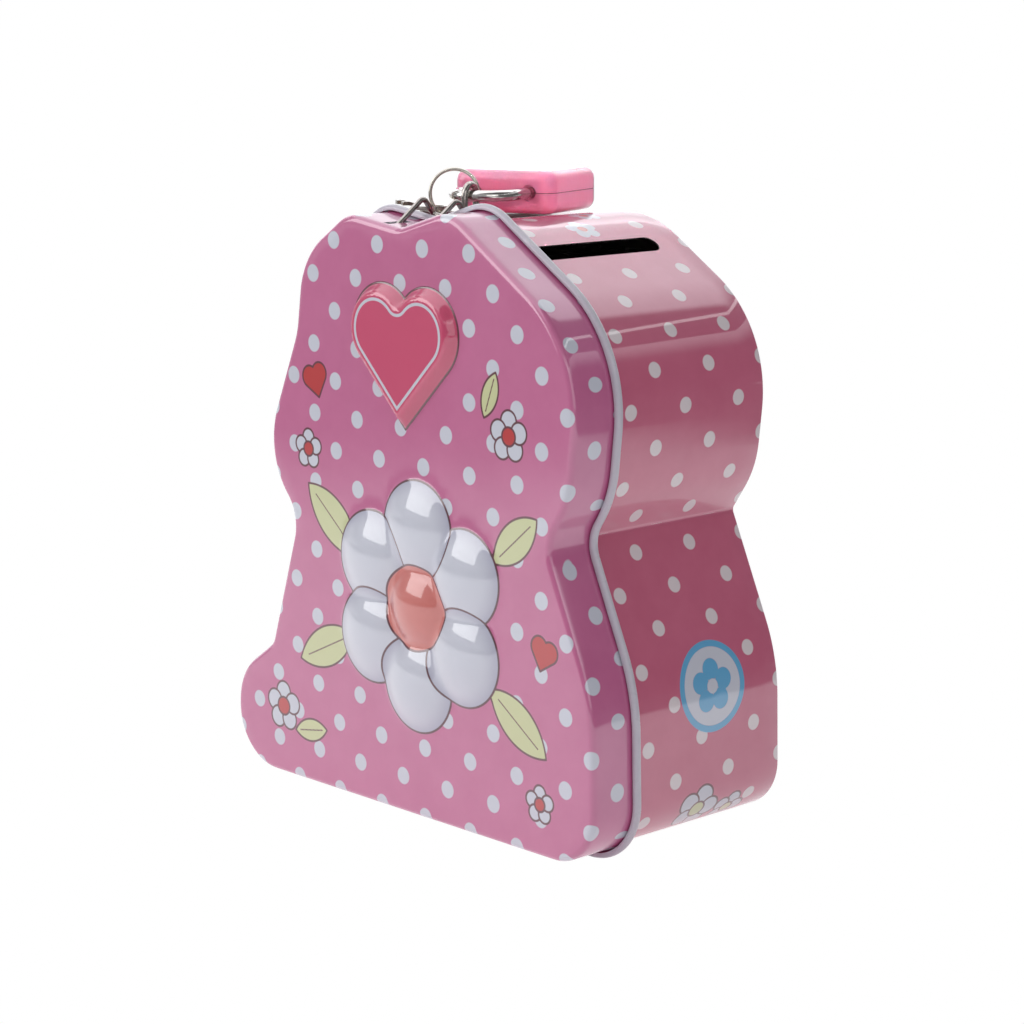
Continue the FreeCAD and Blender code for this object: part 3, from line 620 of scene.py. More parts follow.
@dataclass(frozen=True)
class DotPattern:
    """Staggered rows of round dots: cell and first dot in mm on the flat sheet."""

    cell: Point2
    first: Point2
    diameter: float = 4.1
    edge: float = 0.12

    def mask(self, wires: Wiring, flat: Socket) -> Socket:
        """Adds the dots' mask.

        Args:
            wires: Wiring of the material.
            flat: Print coordinates in mm.

        Returns:
            Socket that is 1 on a dot and 0 between dots.
        """
        half = (self.cell[0] / 2, self.cell[1] / 2, 1.0)
        low = tuple(-side for side in half)
        lengths = []
        for row in (0, 1):
            first = (self.first[0] + row * half[0], self.first[1] + row * half[1], 0.0)
            moved = wires.vector("SUBTRACT", flat, first).outputs[0]
            cell = wires.vector("WRAP", moved, half, low).outputs[0]
            lengths.append(wires.vector("LENGTH", cell).outputs["Value"])
        ends = (self.diameter / 2 - self.edge, self.diameter / 2 + self.edge)
        return wires.ramp(wires.maths("MINIMUM", *lengths), ends, 1.0, 0.0)


# Dots of the lid and the back, then the creamier dot ink and the two ground inks of the band and the back.
LID_DOTS = DotPattern(cell=(15.36, 16.42), first=(46.34, 25.27))
WARM_DOTS = "#EFE3E6"
WALL_GROUND = ("#D7698A", "#D16183")


@dataclass(frozen=True)
class LithoTin:
    """Offset-printed tinplate under gloss varnish: flat inks with a hard clear mirror over them."""

    name: str
    ground: str
    deep_ground: str
    dots: DotPattern
    inks: tuple[Ink, ...]
    roughness: float = 0.38
    varnish_roughness: float = 0.04
    varnish_ior: float = 1.75
    ior: float = 1.5
    mottle: float = 11.0
    ripple: float = 34.0
    ripple_height: float = 0.2
    ripple_stretch: Point3 = (1.0, 0.3, 1.0)
    peel: float = 1.4
    peel_height: float = 0.01
    peel_strength: float = 0.05
    smudge: float = 0.06
    ink_edge: float = 0.08
    shading: float = 0.55
    shade_colour: str = "#A9A2BE"
    dot_colour: str = Ink.WHITE.value

    def material(self) -> bpy.types.Material:
        """Builds the printed and varnished sheet's material.

        Returns:
            The new material.
        """
        made, wires, shader = blank(self.name)
        spot = wires.place()
        cloud = wires.noise(spot, self.mottle, detail=3.0, roughness=0.6)
        colour = wires.mix(wires.ramp(cloud, NOISE_ENDS), linear(self.ground), linear(self.deep_ground))
        dots = self.dots.mask(wires, wires.stored("print_mm").outputs["Vector"])
        colour = wires.mix(dots, colour, linear(self.dot_colour))
        for ink in self.inks:
            edge = wires.stored(ink.attribute).outputs["Fac"]
            cover = wires.ramp(edge, (-self.ink_edge, self.ink_edge), 1.0, 0.0)
            colour = wires.mix(cover, colour, linear(ink.value))
        shade = wires.maths("MULTIPLY", wires.stored("ink_shade").outputs["Fac"], self.shading)
        uneven = wires.ramp(cloud, (0.0, 1.0), self.roughness - self.smudge, self.roughness + self.smudge)
        waves = wires.noise(wires.stretched(spot, self.ripple_stretch), self.ripple, detail=1.0)
        buckled = wires.bump(waves, strength=1.0, distance=self.ripple_height)
        peel = wires.noise(spot, self.peel, detail=2.0)
        peeled = wires.bump(peel, self.peel_strength, self.peel_height, Normal=buckled)
        feed(shader, {
            "Base Color": wires.mix(shade, colour, linear(self.shade_colour), "MULTIPLY"),
            "Roughness": uneven, "Normal": peeled, "Coat Weight": 1.0, "Coat Normal": peeled,
            "Coat Roughness": self.varnish_roughness, "Coat IOR": self.varnish_ior, "IOR": self.ior,
        })
        return made


@dataclass(frozen=True)
class PlainFinish:
    """One-colour finish with fine unevenness: lacquer, plating, rolled sheet or drawn wire."""

    name: str
    colour: str
    second: str
    roughness: float
    spread: float
    grit: float
    metallic: float = 1.0
    stretch: Point3 = (1.0, 1.0, 1.0)
    relief: float = 0.0
    relief_strength: float = 0.4
    coat: float = 0.0
    coat_roughness: float = 0.06
    ior: float = 1.5
    scatter: float = 0.0
    scatter_weight: float = 0.25
    scatter_reach: Point3 = (1.0, 0.45, 0.5)
    seam: float = 0.0
    seam_colour: str = "#8E2348"

    def material(self) -> bpy.types.Material:
        """Builds the finish's material.

        Returns:
            The new material.
        """
        made, wires, shader = blank(self.name)
        spot = wires.place()
        grain = wires.noise(wires.stretched(spot, self.stretch), self.grit, detail=4.0, roughness=0.65)
        colour = wires.mix(wires.ramp(grain, NOISE_ENDS), linear(self.colour), linear(self.second))
        if self.seam:
            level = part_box("padlock_case_upper")[0].z
            up = add_node(wires.tree, "ShaderNodeSeparateXYZ", {0: spot}).outputs["Z"]
            joint = wires.maths("COMPARE", up, level, self.seam * MM)
            colour = wires.mix(joint, colour, linear(self.seam_colour))
        rough = wires.ramp(grain, NOISE_ENDS, self.roughness - self.spread, self.roughness + self.spread)
        inputs = {"Base Color": colour, "Roughness": rough, "Metallic": self.metallic}
        if not self.metallic:
            inputs["IOR"] = self.ior
        if self.coat:
            inputs |= {"Coat Weight": self.coat, "Coat Roughness": self.coat_roughness}
        if self.scatter:
            inputs |= {
                "Subsurface Weight": self.scatter_weight, "Subsurface Radius": self.scatter_reach,
                "Subsurface Scale": self.scatter * MM,
            }
        if self.relief:
            inputs["Normal"] = wires.bump(grain, self.relief_strength, self.relief)
        feed(shader, inputs)
        return made


class Finish(Enum):
    """Plain finishes, each named for what it is and how it was made."""

    # White stoving lacquer on the sheet's back: even, faintly lavender, satin gloss.
    WHITE_LACQUER = PlainFinish(
        "stoved white lacquer", "#D9D5DF", "#CFCAD6", roughness=0.3, spread=0.05, grit=6.0,
        metallic=0.0, coat=0.4,
    )
    # Bare rolled tinplate: cool grey metal with faint lines along the rolling.
    TINPLATE = PlainFinish(
        "rolled tinplate", "#C9C8C6", "#B4B2B0", roughness=0.3, spread=0.08, grit=1.2,
        stretch=(0.08, 1.0, 1.0), relief=0.004,
    )
    # Bright chrome on steel rod: near mirror, with hairline wear.
    CHROME = PlainFinish(
        "chromed steel rod", "#D8D6D2", "#C6C3BE", roughness=0.1, spread=0.04, grit=0.9, relief=0.002,
    )
    # Drawn steel wire, lightly oiled: brown-grey and duller than plating.
    HASP_WIRE = PlainFinish(
        "drawn steel wire", "#B9B3AE", "#9A938E", roughness=0.18, spread=0.07, grit=0.7, relief=0.004,
    )
    # Nickel plate over stamped or wound steel: warm light grey.
    NICKEL = PlainFinish(
        "nickel-plated steel", "#C9C4BA", "#BFB9AE", roughness=0.2, spread=0.04, grit=0.9, relief=0.001,
    )
    # Injection-moulded case plastic: strong pink, glossy, a little light passes into its edges.
    CASE = PlainFinish(
        "moulded case plastic", "#FF8DB3", "#FF85AC", roughness=0.22, spread=0.04, grit=9.0,
        metallic=0.0, coat=1.0, ior=1.49, scatter=2.0, seam=0.1,
    )
    # Turned brass: yellow metal with fine rings of the tool.
    BRASS = PlainFinish(
        "turned brass", "#C9A85C", "#B18F48", roughness=0.26, spread=0.06, grit=0.4, relief=0.004,
    )
    # Bright zinc on small steel pressings: bluish grey, slightly cloudy.
    ZINC = PlainFinish(
        "zinc-plated steel", "#B9BDC2", "#9EA3A9", roughness=0.33, spread=0.09, grit=1.0, relief=0.004,
    )
    # Backdrop paper under the box: dead matt, white and even.
    PAPER = PlainFinish(
        "matt white paper", "#F6F5F6", "#F3F2F4", roughness=0.9, spread=0.03, grit=400.0, metallic=0.0,
    )


@cache
def made_once(finish: PlainFinish | LithoTin) -> bpy.types.Material:
    """Material of a finish, made on first use."""
    return finish.material()


# Meshes.

# Distance in mm within which points are one.
NEAR = 1e-7


@dataclass
class Sheet:
    """Open sheet under construction: points in mm across, deep and up, print coordinates and faces."""

    points: list[Point3] = field(default_factory=list)
    flat: list[Point2] = field(default_factory=list)
    faces: list[tuple[int, ...]] = field(default_factory=list)

    def add(self, point: Point3, flat: Point2) -> int:
        """Adds a point.

        Args:
            point: Place across, deep and up.
            flat: Place on the flat sheet.

        Returns:
            Number of the point.
        """
        self.points.append(point)
        self.flat.append(flat)
        return len(self.points) - 1

    def sweep(self, spots: list[Spot], rows: list[Point3]) -> list[list[int]]:
        """Adds a column of points at every spot.

        Args:
            spots: Places on the outline.
            rows: How far out, how deep and, on the flat sheet, how far out each point is.

        Returns:
            Numbers of the points, column by column.
        """
        grid = []
        for spot in spots:
            places = [(*spot.moved(out), deep, spot.moved(reach)) for out, deep, reach in rows]
            grid.append([self.add((across, deep, up), flat) for across, up, deep, flat in places])
        return grid

    def skin(self, columns: list[list[int]], kept: Callable[[int, int], bool] = lambda i, k: True) -> None:
        """Joins each column of points to the next, and the last to the first.

        Args:
            columns: Points of each column.
            kept: Whether there is a face after that column and row.
        """
        for i, column in enumerate(columns):
            following = columns[(i + 1) % len(columns)]
            for k in range(len(column) - 1):
                if kept(i, k):
                    self.faces.append((column[k], column[k + 1], following[k + 1], following[k]))

    def build(self, name: str, body: Body) -> bpy.types.Object:
        """Makes the object, smooth, and sets it on its body.

        Args:
            name: Name of the piece.
            body: Body that carries it.

        Returns:
            The new object.
        """
        mesh = bpy.data.meshes.new(name)
        mesh.from_pydata([to_frame(*p) for p in self.points], [], self.faces)
        mesh.shade_smooth()
        made = bpy.data.objects.new(name, mesh)
        bpy.context.scene.collection.objects.link(made)
        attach(made, body.value)
        LOG.info("piece %s: %d faces", name, len(self.faces))
        return made


# Thickness of the tinplate in mm, and the turn in degrees from which an edge is sharp.
WALL = 0.4
CUT_ANGLE = 50.0


def thicken(piece: bpy.types.Object, outer: LithoTin, inner: Finish) -> None:
    """Gives an open sheet its thickness, with another finish on its back.

    Args:
        piece: Sheet whose printed side faces out.
        outer: Finish of the front.
        inner: Finish of the back and the cut edges.
    """
    for finish in (outer, inner.value):
        piece.data.materials.append(made_once(finish))
    solid = piece.modifiers.new("sheet thickness", "SOLIDIFY")
    solid.thickness = WALL * MM
    solid.offset = -1.0
    solid.use_even_offset = True
    solid.material_offset = 1
    solid.material_offset_rim = 1
    cut = piece.modifiers.new("cut edges", "EDGE_SPLIT")
    cut.split_angle = math.radians(CUT_ANGLE)


def filled(
    border: list[Point2], hole: list[Point2], inner: list[Point2],
) -> tuple[list[Point2], list[tuple[int, ...]], list[int | None]]:
    """Fills a border with triangles, round a hole and through inner points.

    Args:
        border: Closed loop, anticlockwise.
        hole: Closed loop inside it, or nothing.
        inner: Loose points inside.

    Returns:
        Points, triangles and, for each point, the number of the given point it stands for, or None.
    """
    given = border + hole + inner
    loops = [(i, (i + 1) % len(border)) for i in range(len(border))]
    loops += [(len(border) + i, len(border) + (i + 1) % len(hole)) for i in range(len(hole))]
    points, _, faces, origins, _, _ = delaunay_2d_cdt([Vector(p) for p in given], loops, [], 1, NEAR)
    sources = [found[0] if found else None for found in origins]
    gap = set(range(len(border), len(border) + len(hole)))
    kept = [tuple(f) for f in faces if not {sources[i] for i in f} <= gap]
    return [tuple(p) for p in points], kept, sources


def stepped(end: float, count: int) -> list[float]:
    """Equal steps from zero to an end."""
    return [end * i / count for i in range(count + 1)]


def gentle(share: float | np.ndarray) -> float | np.ndarray:
    """Share that starts and ends gently."""
    return share * share * (3 - 2 * share)


def smooth_max(a: np.ndarray, b: np.ndarray, blend: float) -> np.ndarray:
    """Greater of two heights, with a fillet where they meet."""
    near = np.maximum(blend - np.abs(a - b), 0) / blend
    return np.maximum(a, b) + near * near * blend / 4


def honeycomb(low: Point2, high: Point2, pitch: float) -> np.ndarray:
    """Points in staggered rows over a rectangle.

    Args:
        low: Lower corner.
        high: Upper corner.
        pitch: Distance between neighbours.

    Returns:
        Array of points.
    """
    rows = np.arange(low[1], high[1], pitch * math.sqrt(3) / 2)
    columns = np.arange(low[0], high[0], pitch)
    x, z = np.meshgrid(columns, rows)
    x = x + (np.arange(len(rows)) % 2)[:, None] * pitch / 2
    return np.column_stack((x.ravel(), z.ravel()))


def within(points: np.ndarray, loop: list[Point2]) -> np.ndarray:
    """Tells which points lie inside a closed loop.

    Args:
        points: Array of points.
        loop: Points of the loop.

    Returns:
        True for each point inside.
    """
    inside = np.zeros(len(points), bool)
    for (x0, z0), (x1, z1) in zip(loop, loop[1:] + loop[:1]):
        if z0 != z1:
            spans = (points[:, 1] < z0) != (points[:, 1] < z1)
            crossing = x0 + (points[:, 1] - z0) * (x1 - x0) / (z1 - z0)
            inside ^= spans & (points[:, 0] < crossing)
    return inside


# Lid.


BIG_DAISY = Daisy(6.0, 50.0, ring=18.0, petal=11.5, eye=10.0, petals=6)
BIG_HEART = Heart(2.0, 107.0, half=18.0)


@dataclass
class Lid:
    """Pressed lid: face with raised flower and heart, straight skirt and outward curl."""

    face_edge: float = 1.5
    edge_steps: int = 6
    throat: tuple[Point2, ...] = ((0.0, 10.0), (0.0, 11.0), (0.25, 11.6), (0.75, 12.2))
    curl_sweep: float = 290.0
    curl_steps: int = 20
    knuckle_across: float = 24.0
    knuckle_half: float = 7.4
    knuckle_front: float = 11.0
    bail_places: Point2 = (-6.0, 5.3)
    bail_slot: Point2 = (1.5, 8.4)
    bail_slot_half: float = 0.9
    eye_rise: float = 3.4
    petal_rise: float = 2.9
    heart_rise: float = 2.6
    heart_slope: float = 2.4
    fillet: float = 0.9
    relief_grid: float = 0.8
    plain_grid: float = 3.0
    edge_grid: float = 0.3
    edge_reach: float = 0.5
    rim_clear: float = 0.7
    heart_line: Point2 = (3.6, 0.35)

    def relief(self, spots: np.ndarray) -> np.ndarray:
        """Height of the pressed shapes above the face.

        Args:
            spots: Points on the face.

        Returns:
            Height at every point.
        """
        height = np.zeros(len(spots))
        caps = [(c, BIG_DAISY.petal, self.petal_rise) for c in BIG_DAISY.centres()]
        caps.append(((BIG_DAISY.across, BIG_DAISY.up), BIG_DAISY.eye, self.eye_rise))
        for centre, radius, rise in caps:
            ball = (radius * radius + rise * rise) / (2 * rise)
            aside = np.minimum(away(spots, centre), ball)
            cap = np.sqrt(ball * ball - aside * aside) - (ball - rise)
            height = smooth_max(height, cap, self.fillet)
        inside = np.clip(-BIG_HEART.distance(spots) / self.heart_slope, 0, 1)
        return np.maximum(height, self.heart_rise * gentle(inside))

    def profile(self) -> list[Point3]:
        """Lays out the rows of the edge, skirt and curl.

        Returns:
            How far out, how deep and, on the flat sheet, how far out each row is.
        """
        turns = stepped(math.pi / 2, self.edge_steps)
        rows = [(self.face_edge * (math.sin(t) - 1), self.face_edge * (1 - math.cos(t))) for t in turns]
        start, end = self.bail_slot
        rows += [(0.0, start + (end - start) * share) for share in (0.25, 0.5, 0.75, 1.0)]
        inner = CURL_RADIUS - WALL
        rows += [((CURL_OUT - inner) * share, deep) for share, deep in self.throat]
        turns = stepped(math.radians(self.curl_sweep), self.curl_steps)
        rows += [(CURL_OUT - inner * math.cos(t), SKIRT_DEPTH + inner * math.sin(t)) for t in turns]
        reaches = np.cumsum([rows[0][0]] + [math.dist(a, b) for a, b in zip(rows, rows[1:])])
        return [(out, deep, reach) for (out, deep), reach in zip(rows, reaches)]

    def open_place(self, spot: Spot, deep: float) -> bool:
        """Whether the sheet is cut away there, for a hinge knuckle or a leg of the hasp's wire.

        Args:
            spot: Place on the outline.
            deep: Depth behind the face in mm.

        Returns:
            True where there is no sheet.
        """
        if spot.up < HALF_UP:
            beside = abs(abs(spot.across - MIDDLE) - self.knuckle_across)
            return beside < self.knuckle_half and deep > self.knuckle_front
        over = min(abs(spot.across - across) for across in self.bail_places)
        return over < self.bail_slot_half and self.bail_slot[0] < deep < self.bail_slot[1]

    def build(self) -> None:
        """Builds the printed lid."""
        marks = []
        for edge in (-1, 1):
            for side in (-1, 1):
                place = MIDDLE + side * self.knuckle_across + edge * self.knuckle_half
                marks.append(LID_OUTLINE.crossing(place, False))
            legs = [place + edge * self.bail_slot_half for place in self.bail_places]
            marks += [LID_OUTLINE.crossing(place, True) for place in legs]
        spots = LID_OUTLINE.stations(marks, line_step=2.4, arc_step=1.1, arc_degrees=5.0)
        rows = self.profile()
        sheet = Sheet()
        grid = sheet.sweep(spots, rows)
        ends = [spot.along for spot in spots[1:]] + [LID_OUTLINE.length]
        halves = [LID_OUTLINE.spot((spot.along + end) / 2) for spot, end in zip(spots, ends)]
        deeps = [(row[1] + after[1]) / 2 for row, after in zip(rows, rows[1:])]
        sheet.skin(grid, lambda i, k: not self.open_place(halves[i], deeps[k]))
        self.fill_face(sheet, [column[0] for column in grid], spots)
        made = sheet.build("lid_pressing", Body.LID)
        self.dress(made, sheet)
        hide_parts("lid_shell")

    def fill_face(self, sheet: Sheet, rim: list[int], spots: list[Spot]) -> None:
        """Fills the face inside its rounded edge, finer on the relief and finest along printed edges.

        Args:
            sheet: Sheet under construction.
            rim: Points of the edge's first row.
            spots: Stations of the outline.
        """
        border = [(sheet.points[i][0], sheet.points[i][2]) for i in rim]
        low = tuple(np.min(border, axis=0))
        high = tuple(np.max(border, axis=0))
        inner = []
        for pitch in (self.plain_grid, self.relief_grid, self.edge_grid):
            points = honeycomb(low, high, pitch)
            inwards = self.face_edge + self.rim_clear * pitch
            points = points[within(points, [spot.moved(-inwards) for spot in spots])]
            raised = self.relief(points) > 0
            printed = self.paint(points).near_edge(self.edge_reach)
            if pitch == self.edge_grid:
                inner.append(points[printed])
            elif pitch == self.relief_grid:
                inner.append(points[raised & ~printed])
            else:
                inner.append(points[~raised & ~printed])
        points, faces, sources = filled(border, [], [tuple(p) for p in np.vstack(inner)])
        heights = self.relief(np.array(points))
        numbers = []
        for (across, up), source, height in zip(points, sources, heights):
            if source is not None and source < len(rim):
                numbers.append(rim[source])
            else:
                numbers.append(sheet.add((across, -float(height), up), (across, up)))
        sheet.faces += [tuple(numbers[i] for i in face) for face in faces]

    def paint(self, flat: np.ndarray) -> InkPlate:
        """Lays the lid's print: leaves, flowers and hearts.

        Args:
            flat: Points on the flat sheet.

        Returns:
            The inks at those points.
        """
        plate = InkPlate(flat)
        for leaf in (
            Leaf(-24.0, 66.0, 24.0, 10.0, 140.0), Leaf(-27.0, 35.0, 22.0, 9.5, 205.0),
            Leaf(38.0, 70.0, 18.0, 8.5, 40.0), Leaf(39.0, 29.0, 22.0, 9.5, -35.0),
            Leaf(-33.5, 13.0, 12.0, 5.5, 10.0), Leaf(30.0, 101.5, 11.0, 5.0, 70.0),
        ):
            plate.leaf(leaf)
        plate.daisy(BIG_DAISY, Ink.WHITE, Ink.CORAL, shade=4.5)
        for across, up, size in (
            (-44.0, 17.0, 3.6), (36.0, 93.0, 3.4), (46.0, 12.0, 2.6), (-33.0, 82.0, 2.8),
        ):
            plate.daisy(small_daisy(across, up, size, petal=0.72, eye=0.62), Ink.WHITE, Ink.RED)
        edge = BIG_HEART.distance(flat)
        plate.lay(Ink.ROSE, edge)
        inset, half = self.heart_line
        plate.inks[Ink.WHITE] = np.minimum(plate.inks[Ink.WHITE], np.abs(edge + inset) - half)
        for heart in (Heart(-30.0, 98.5, 4.4, 18.0), Heart(47.0, 46.0, 4.2, -15.0)):
            plate.lay(Ink.RED, heart.distance(flat))
        return plate

    def dress(self, made: bpy.types.Object, sheet: Sheet) -> None:
        """Prints the lid and lacquers its back.

        Args:
            made: The lid's object.
            sheet: Sheet that it was made from.
        """
        flat = np.array(sheet.flat)
        self.paint(flat).write(made.data, flat)
        order = (Ink.LEAF, Ink.CORAL, Ink.ROSE, Ink.WHITE, Ink.RED, Ink.LINE)
        printed = LithoTin("litho-printed lid tin", "#D46E9F", "#CE6698", LID_DOTS, order)
        thicken(made, printed, Finish.WHITE_LACQUER)


# Band, feet and back.


@dataclass
class Band:
    """Wall of the box: neck under the lid, creased waist, coin slot and rear hem."""

    out: float = -0.7
    neck_front: float = 8.7
    box_depth: float = 61.6
    hem: float = 2.5
    fold: float = 0.7
    fold_steps: int = 5
    row_step: float = 5.5
    edge_grid: float = 0.32
    edge_reach: float = 0.5
    edge_free: float = 1.0
    crease_half: float = 0.06
    crease_take: float = 9.04
    slot_from_peak: float = 16.5
    slot_deep: float = 33.25
    slot_length: float = 38.5
    slot_width: float = 5.1
    slot_margin: float = 1.0
    slot_end_steps: int = 14
    slot_side_steps: int = 10
    foot_across: float = 38.0
    foot_inset: float = 10.0
    foot_base: float = 5.5
    foot_tip: float = 3.5
    foot_fillet: float = 1.0
    foot_lap: float = 0.05
    foot_steps: int = 6
    foot_points: int = 40
    foot_round: Point2 = (0.25, 0.02)
    foot_flat: float = 0.6
    foot_middle: float = 0.3
    dots: DotPattern = DotPattern(cell=(17.63, 17.35), first=(66.8, 18.1), diameter=3.7)
    badge: Point2 = (42.4, 39.5)
    badge_radius: float = 10.6
    badge_stroke: float = 1.55

    def slot_along(self) -> float:
        """Finds the middle of the coin slot.

        Returns:
            Distance along the outline.
        """
        run = BAND_OUTLINE.run_after("shoulder_right")
        peak = FRONT_CORNERS["peak_right"]
        reach = math.dist((run.across, run.up), (peak.across, peak.up))
        return run.start + reach - self.slot_from_peak

    def slot_loop(self, grown: float = 0.0) -> list[Point2]:
        """Lays out the punched slot's round-ended loop, or one round it, anticlockwise.

        Args:
            grown: How far outside the slot the loop runs.

        Returns:
            Points as (deep, along).
        """
        half = self.slot_width / 2 + grown
        run = (self.slot_length - self.slot_width) / 2
        ends, sides = self.slot_end_steps, self.slot_side_steps
        turns = [math.pi * (i / ends - 0.5) for i in range(ends + 1)]
        loop = []
        for side in (1, -1):
            loop += [(side * (run + half * math.cos(t)), side * half * math.sin(t)) for t in turns]
            loop += [(side * run * (1 - 2 * i / sides), side * half) for i in range(1, sides)]
        return [(self.slot_deep + d, self.slot_along() + s) for d, s in loop]

    def fold_rows(self) -> list[Point2]:
        """Lays out the rows of the rear fold and hem, after the wall's last row.

        Returns:
            How far out and how deep each row is.
        """
        last = self.box_depth - self.fold
        turns = stepped(math.pi / 2, self.fold_steps)[1:]
        rows = [(self.out - self.fold * (1 - math.cos(t)), last + self.fold * math.sin(t)) for t in turns]
        return rows + [(self.out - self.hem, self.box_depth)]

    def creases(self) -> list[float]:
        """Distances along the outline to the middles of the two waist creases."""
        runs = [BAND_OUTLINE.runs[2 * list(FRONT_CORNERS).index(n)] for n in ("waist_right", "waist_left")]
        return [run.start + run.length / 2 for run in runs]

    def flat_along(self, along: float) -> float:
        """Distance along the flat sheet, with what the waist creases take up."""
        return along + self.crease_take * sum(along > crease for crease in self.creases())

    def build(self) -> None:
        """Builds the printed wall."""
        marks = [crease + side * self.crease_half for crease in self.creases() for side in (-1, 1)]
        spots = BAND_OUTLINE.stations(marks, line_step=3.0, arc_step=1.2, arc_degrees=5.0)
        spots.append(replace(spots[0], along=BAND_OUTLINE.length))
        last = self.box_depth - self.fold
        count = math.ceil((last - self.neck_front) / self.row_step)
        rows = [self.neck_front + behind for behind in stepped(last - self.neck_front, count)]
        alongs = [s.along for s in spots]
        border = [(deep, 0.0) for deep in rows] + [(last, s) for s in alongs[1:]]
        border += [(deep, alongs[-1]) for deep in reversed(rows[:-1])]
        border += [(self.neck_front, s) for s in reversed(alongs[1:-1])]
        lattice = np.array([(deep, s) for deep in rows[1:-1] for s in alongs[1:-1]])
        free = self.edge_free
        fine = honeycomb((self.neck_front + free, free), (last - free, alongs[-1] - free), self.edge_grid)
        fine = fine[self.paint(fine).near_edge(self.edge_reach)]
        lattice = lattice[~self.paint(lattice).near_edge(self.edge_reach)]
        inner = np.vstack((lattice, fine))
        inner = inner[~within(inner, self.slot_loop(self.slot_margin))]
        points, faces, sources = filled(border, self.slot_loop(), [tuple(p) for p in inner])
        sheet = Sheet()
        given: dict[int, int] = {}
        for i, ((deep, along), source) in enumerate(zip(points, sources)):
            across, up = BAND_OUTLINE.spot(along).moved(self.out)
            sheet.add((across, deep, up), (along, deep))
            if source is not None:
                given[source] = i
        sheet.faces += faces
        self.fold_rear(sheet, [given[len(rows) - 1 + i] for i in range(len(spots))], spots)
        made = sheet.build("band_wall", Body.BOX)
        self.dress(made, sheet)
        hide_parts("body_band")

    def fold_rear(self, sheet: Sheet, edge: list[int], spots: list[Spot]) -> None:
        """Folds the wall's rear edge in.

        Args:
            sheet: Sheet under construction.
            edge: Points along the wall's last row.
            spots: Stations of those points.
        """
        for out, deep in self.fold_rows():
            following = []
            for spot in spots:
                across, up = spot.moved(out)
                following.append(sheet.add((across, deep, up), (spot.along, deep + self.out - out)))
            for i in range(len(edge) - 1):
                sheet.faces.append((edge[i], following[i], following[i + 1], edge[i + 1]))
            edge = following

    def paint(self, flat: np.ndarray) -> InkPlate:
        """Lays the wall's print: round badge and white flowers.

        Args:
            flat: Points as (deep, along).

        Returns:
            The inks at those points.
        """
        plate = InkPlate(flat)
        along, deep = self.badge
        around = away(flat, (deep, along))
        plate.lay(Ink.BLUE, around - self.badge_radius, line=False)
        plate.lay(Ink.WHITE, around - self.badge_radius + self.badge_stroke, line=False)
        motif = Daisy(deep, along, ring=3.9, petal=2.55, eye=1.7, petals=5, first=90.0)
        plate.daisy(motif, Ink.BLUE, Ink.WHITE, line=False)
        for centre, size in (((35.4, 13.4), 3.9), ((47.0, 10.5), 3.0), ((30.0, 352.0), 3.6)):
            plate.daisy(small_daisy(*centre, size, petal=0.74, eye=0.6, first=72.0), Ink.WHITE, Ink.LEAF)
        for centre, size in (((35.4, 163.5), 2.6), ((44.1, 172.3), 2.4), ((26.8, 225.3), 2.8)):
            plate.daisy(small_daisy(*centre, size, petal=0.66, eye=0.5), Ink.WHITE, Ink.CORAL, line=False)
        return plate

    def printed(self) -> LithoTin:
        """Finish of the wall and its feet."""
        order = (Ink.BLUE, Ink.CORAL, Ink.WHITE, Ink.LEAF, Ink.LINE)
        return LithoTin("litho-printed band tin", *WALL_GROUND, self.dots, order, dot_colour=WARM_DOTS)

    def dress(self, made: bpy.types.Object, sheet: Sheet) -> None:
        """Prints the wall and leaves its inside bare.

        Args:
            made: The wall's object.
            sheet: Sheet that it was made from.
        """
        spots = np.array(sheet.flat)
        flat = np.array([(self.flat_along(along), deep) for along, deep in sheet.flat])
        self.paint(spots[:, ::-1]).write(made.data, flat)
        thicken(made, self.printed(), Finish.TINPLATE)

    def build_feet(self) -> None:
        """Builds the two stamped feet under the wall's rear."""
        wide = self.foot_base + self.foot_fillet
        slope = []
        for share in np.arange(self.foot_steps) / self.foot_steps:
            up = -self.out + self.foot_lap + (FLOOR_UP + self.out) * gentle(share)
            slope.append((wide + (self.foot_tip - wide) * share, up))
        inwards, upwards = self.foot_round
        slope.append((self.foot_tip - inwards, FLOOR_UP + upwards))
        slope += [(radius, FLOOR_UP) for radius in (self.foot_tip * self.foot_flat, self.foot_middle)]
        count = self.foot_points
        for name, side in (("left", -1), ("right", 1)):
            sheet = Sheet()
            rings = []
            for radius, up in slope:
                ring = []
                for i in range(count):
                    turn = 2 * math.pi * i / count
                    across = MIDDLE + side * self.foot_across + radius * math.cos(turn)
                    deep = self.box_depth - self.foot_inset + radius * math.sin(turn)
                    ring.append(sheet.add((across, deep, up), (across, deep)))
                rings.append(ring)
            for upper, lower in zip(rings, rings[1:]):
                for i in range(count):
                    j = (i + 1) % count
                    sheet.faces.append((upper[i], upper[j], lower[j], lower[i]))
            sheet.faces.append(tuple(rings[-1]))
            made = sheet.build(f"stamped_foot_{name}", Body.BOX)
            flat = np.array(sheet.flat)
            InkPlate(flat).write(made.data, flat)
            made.data.materials.append(made_once(self.printed()))


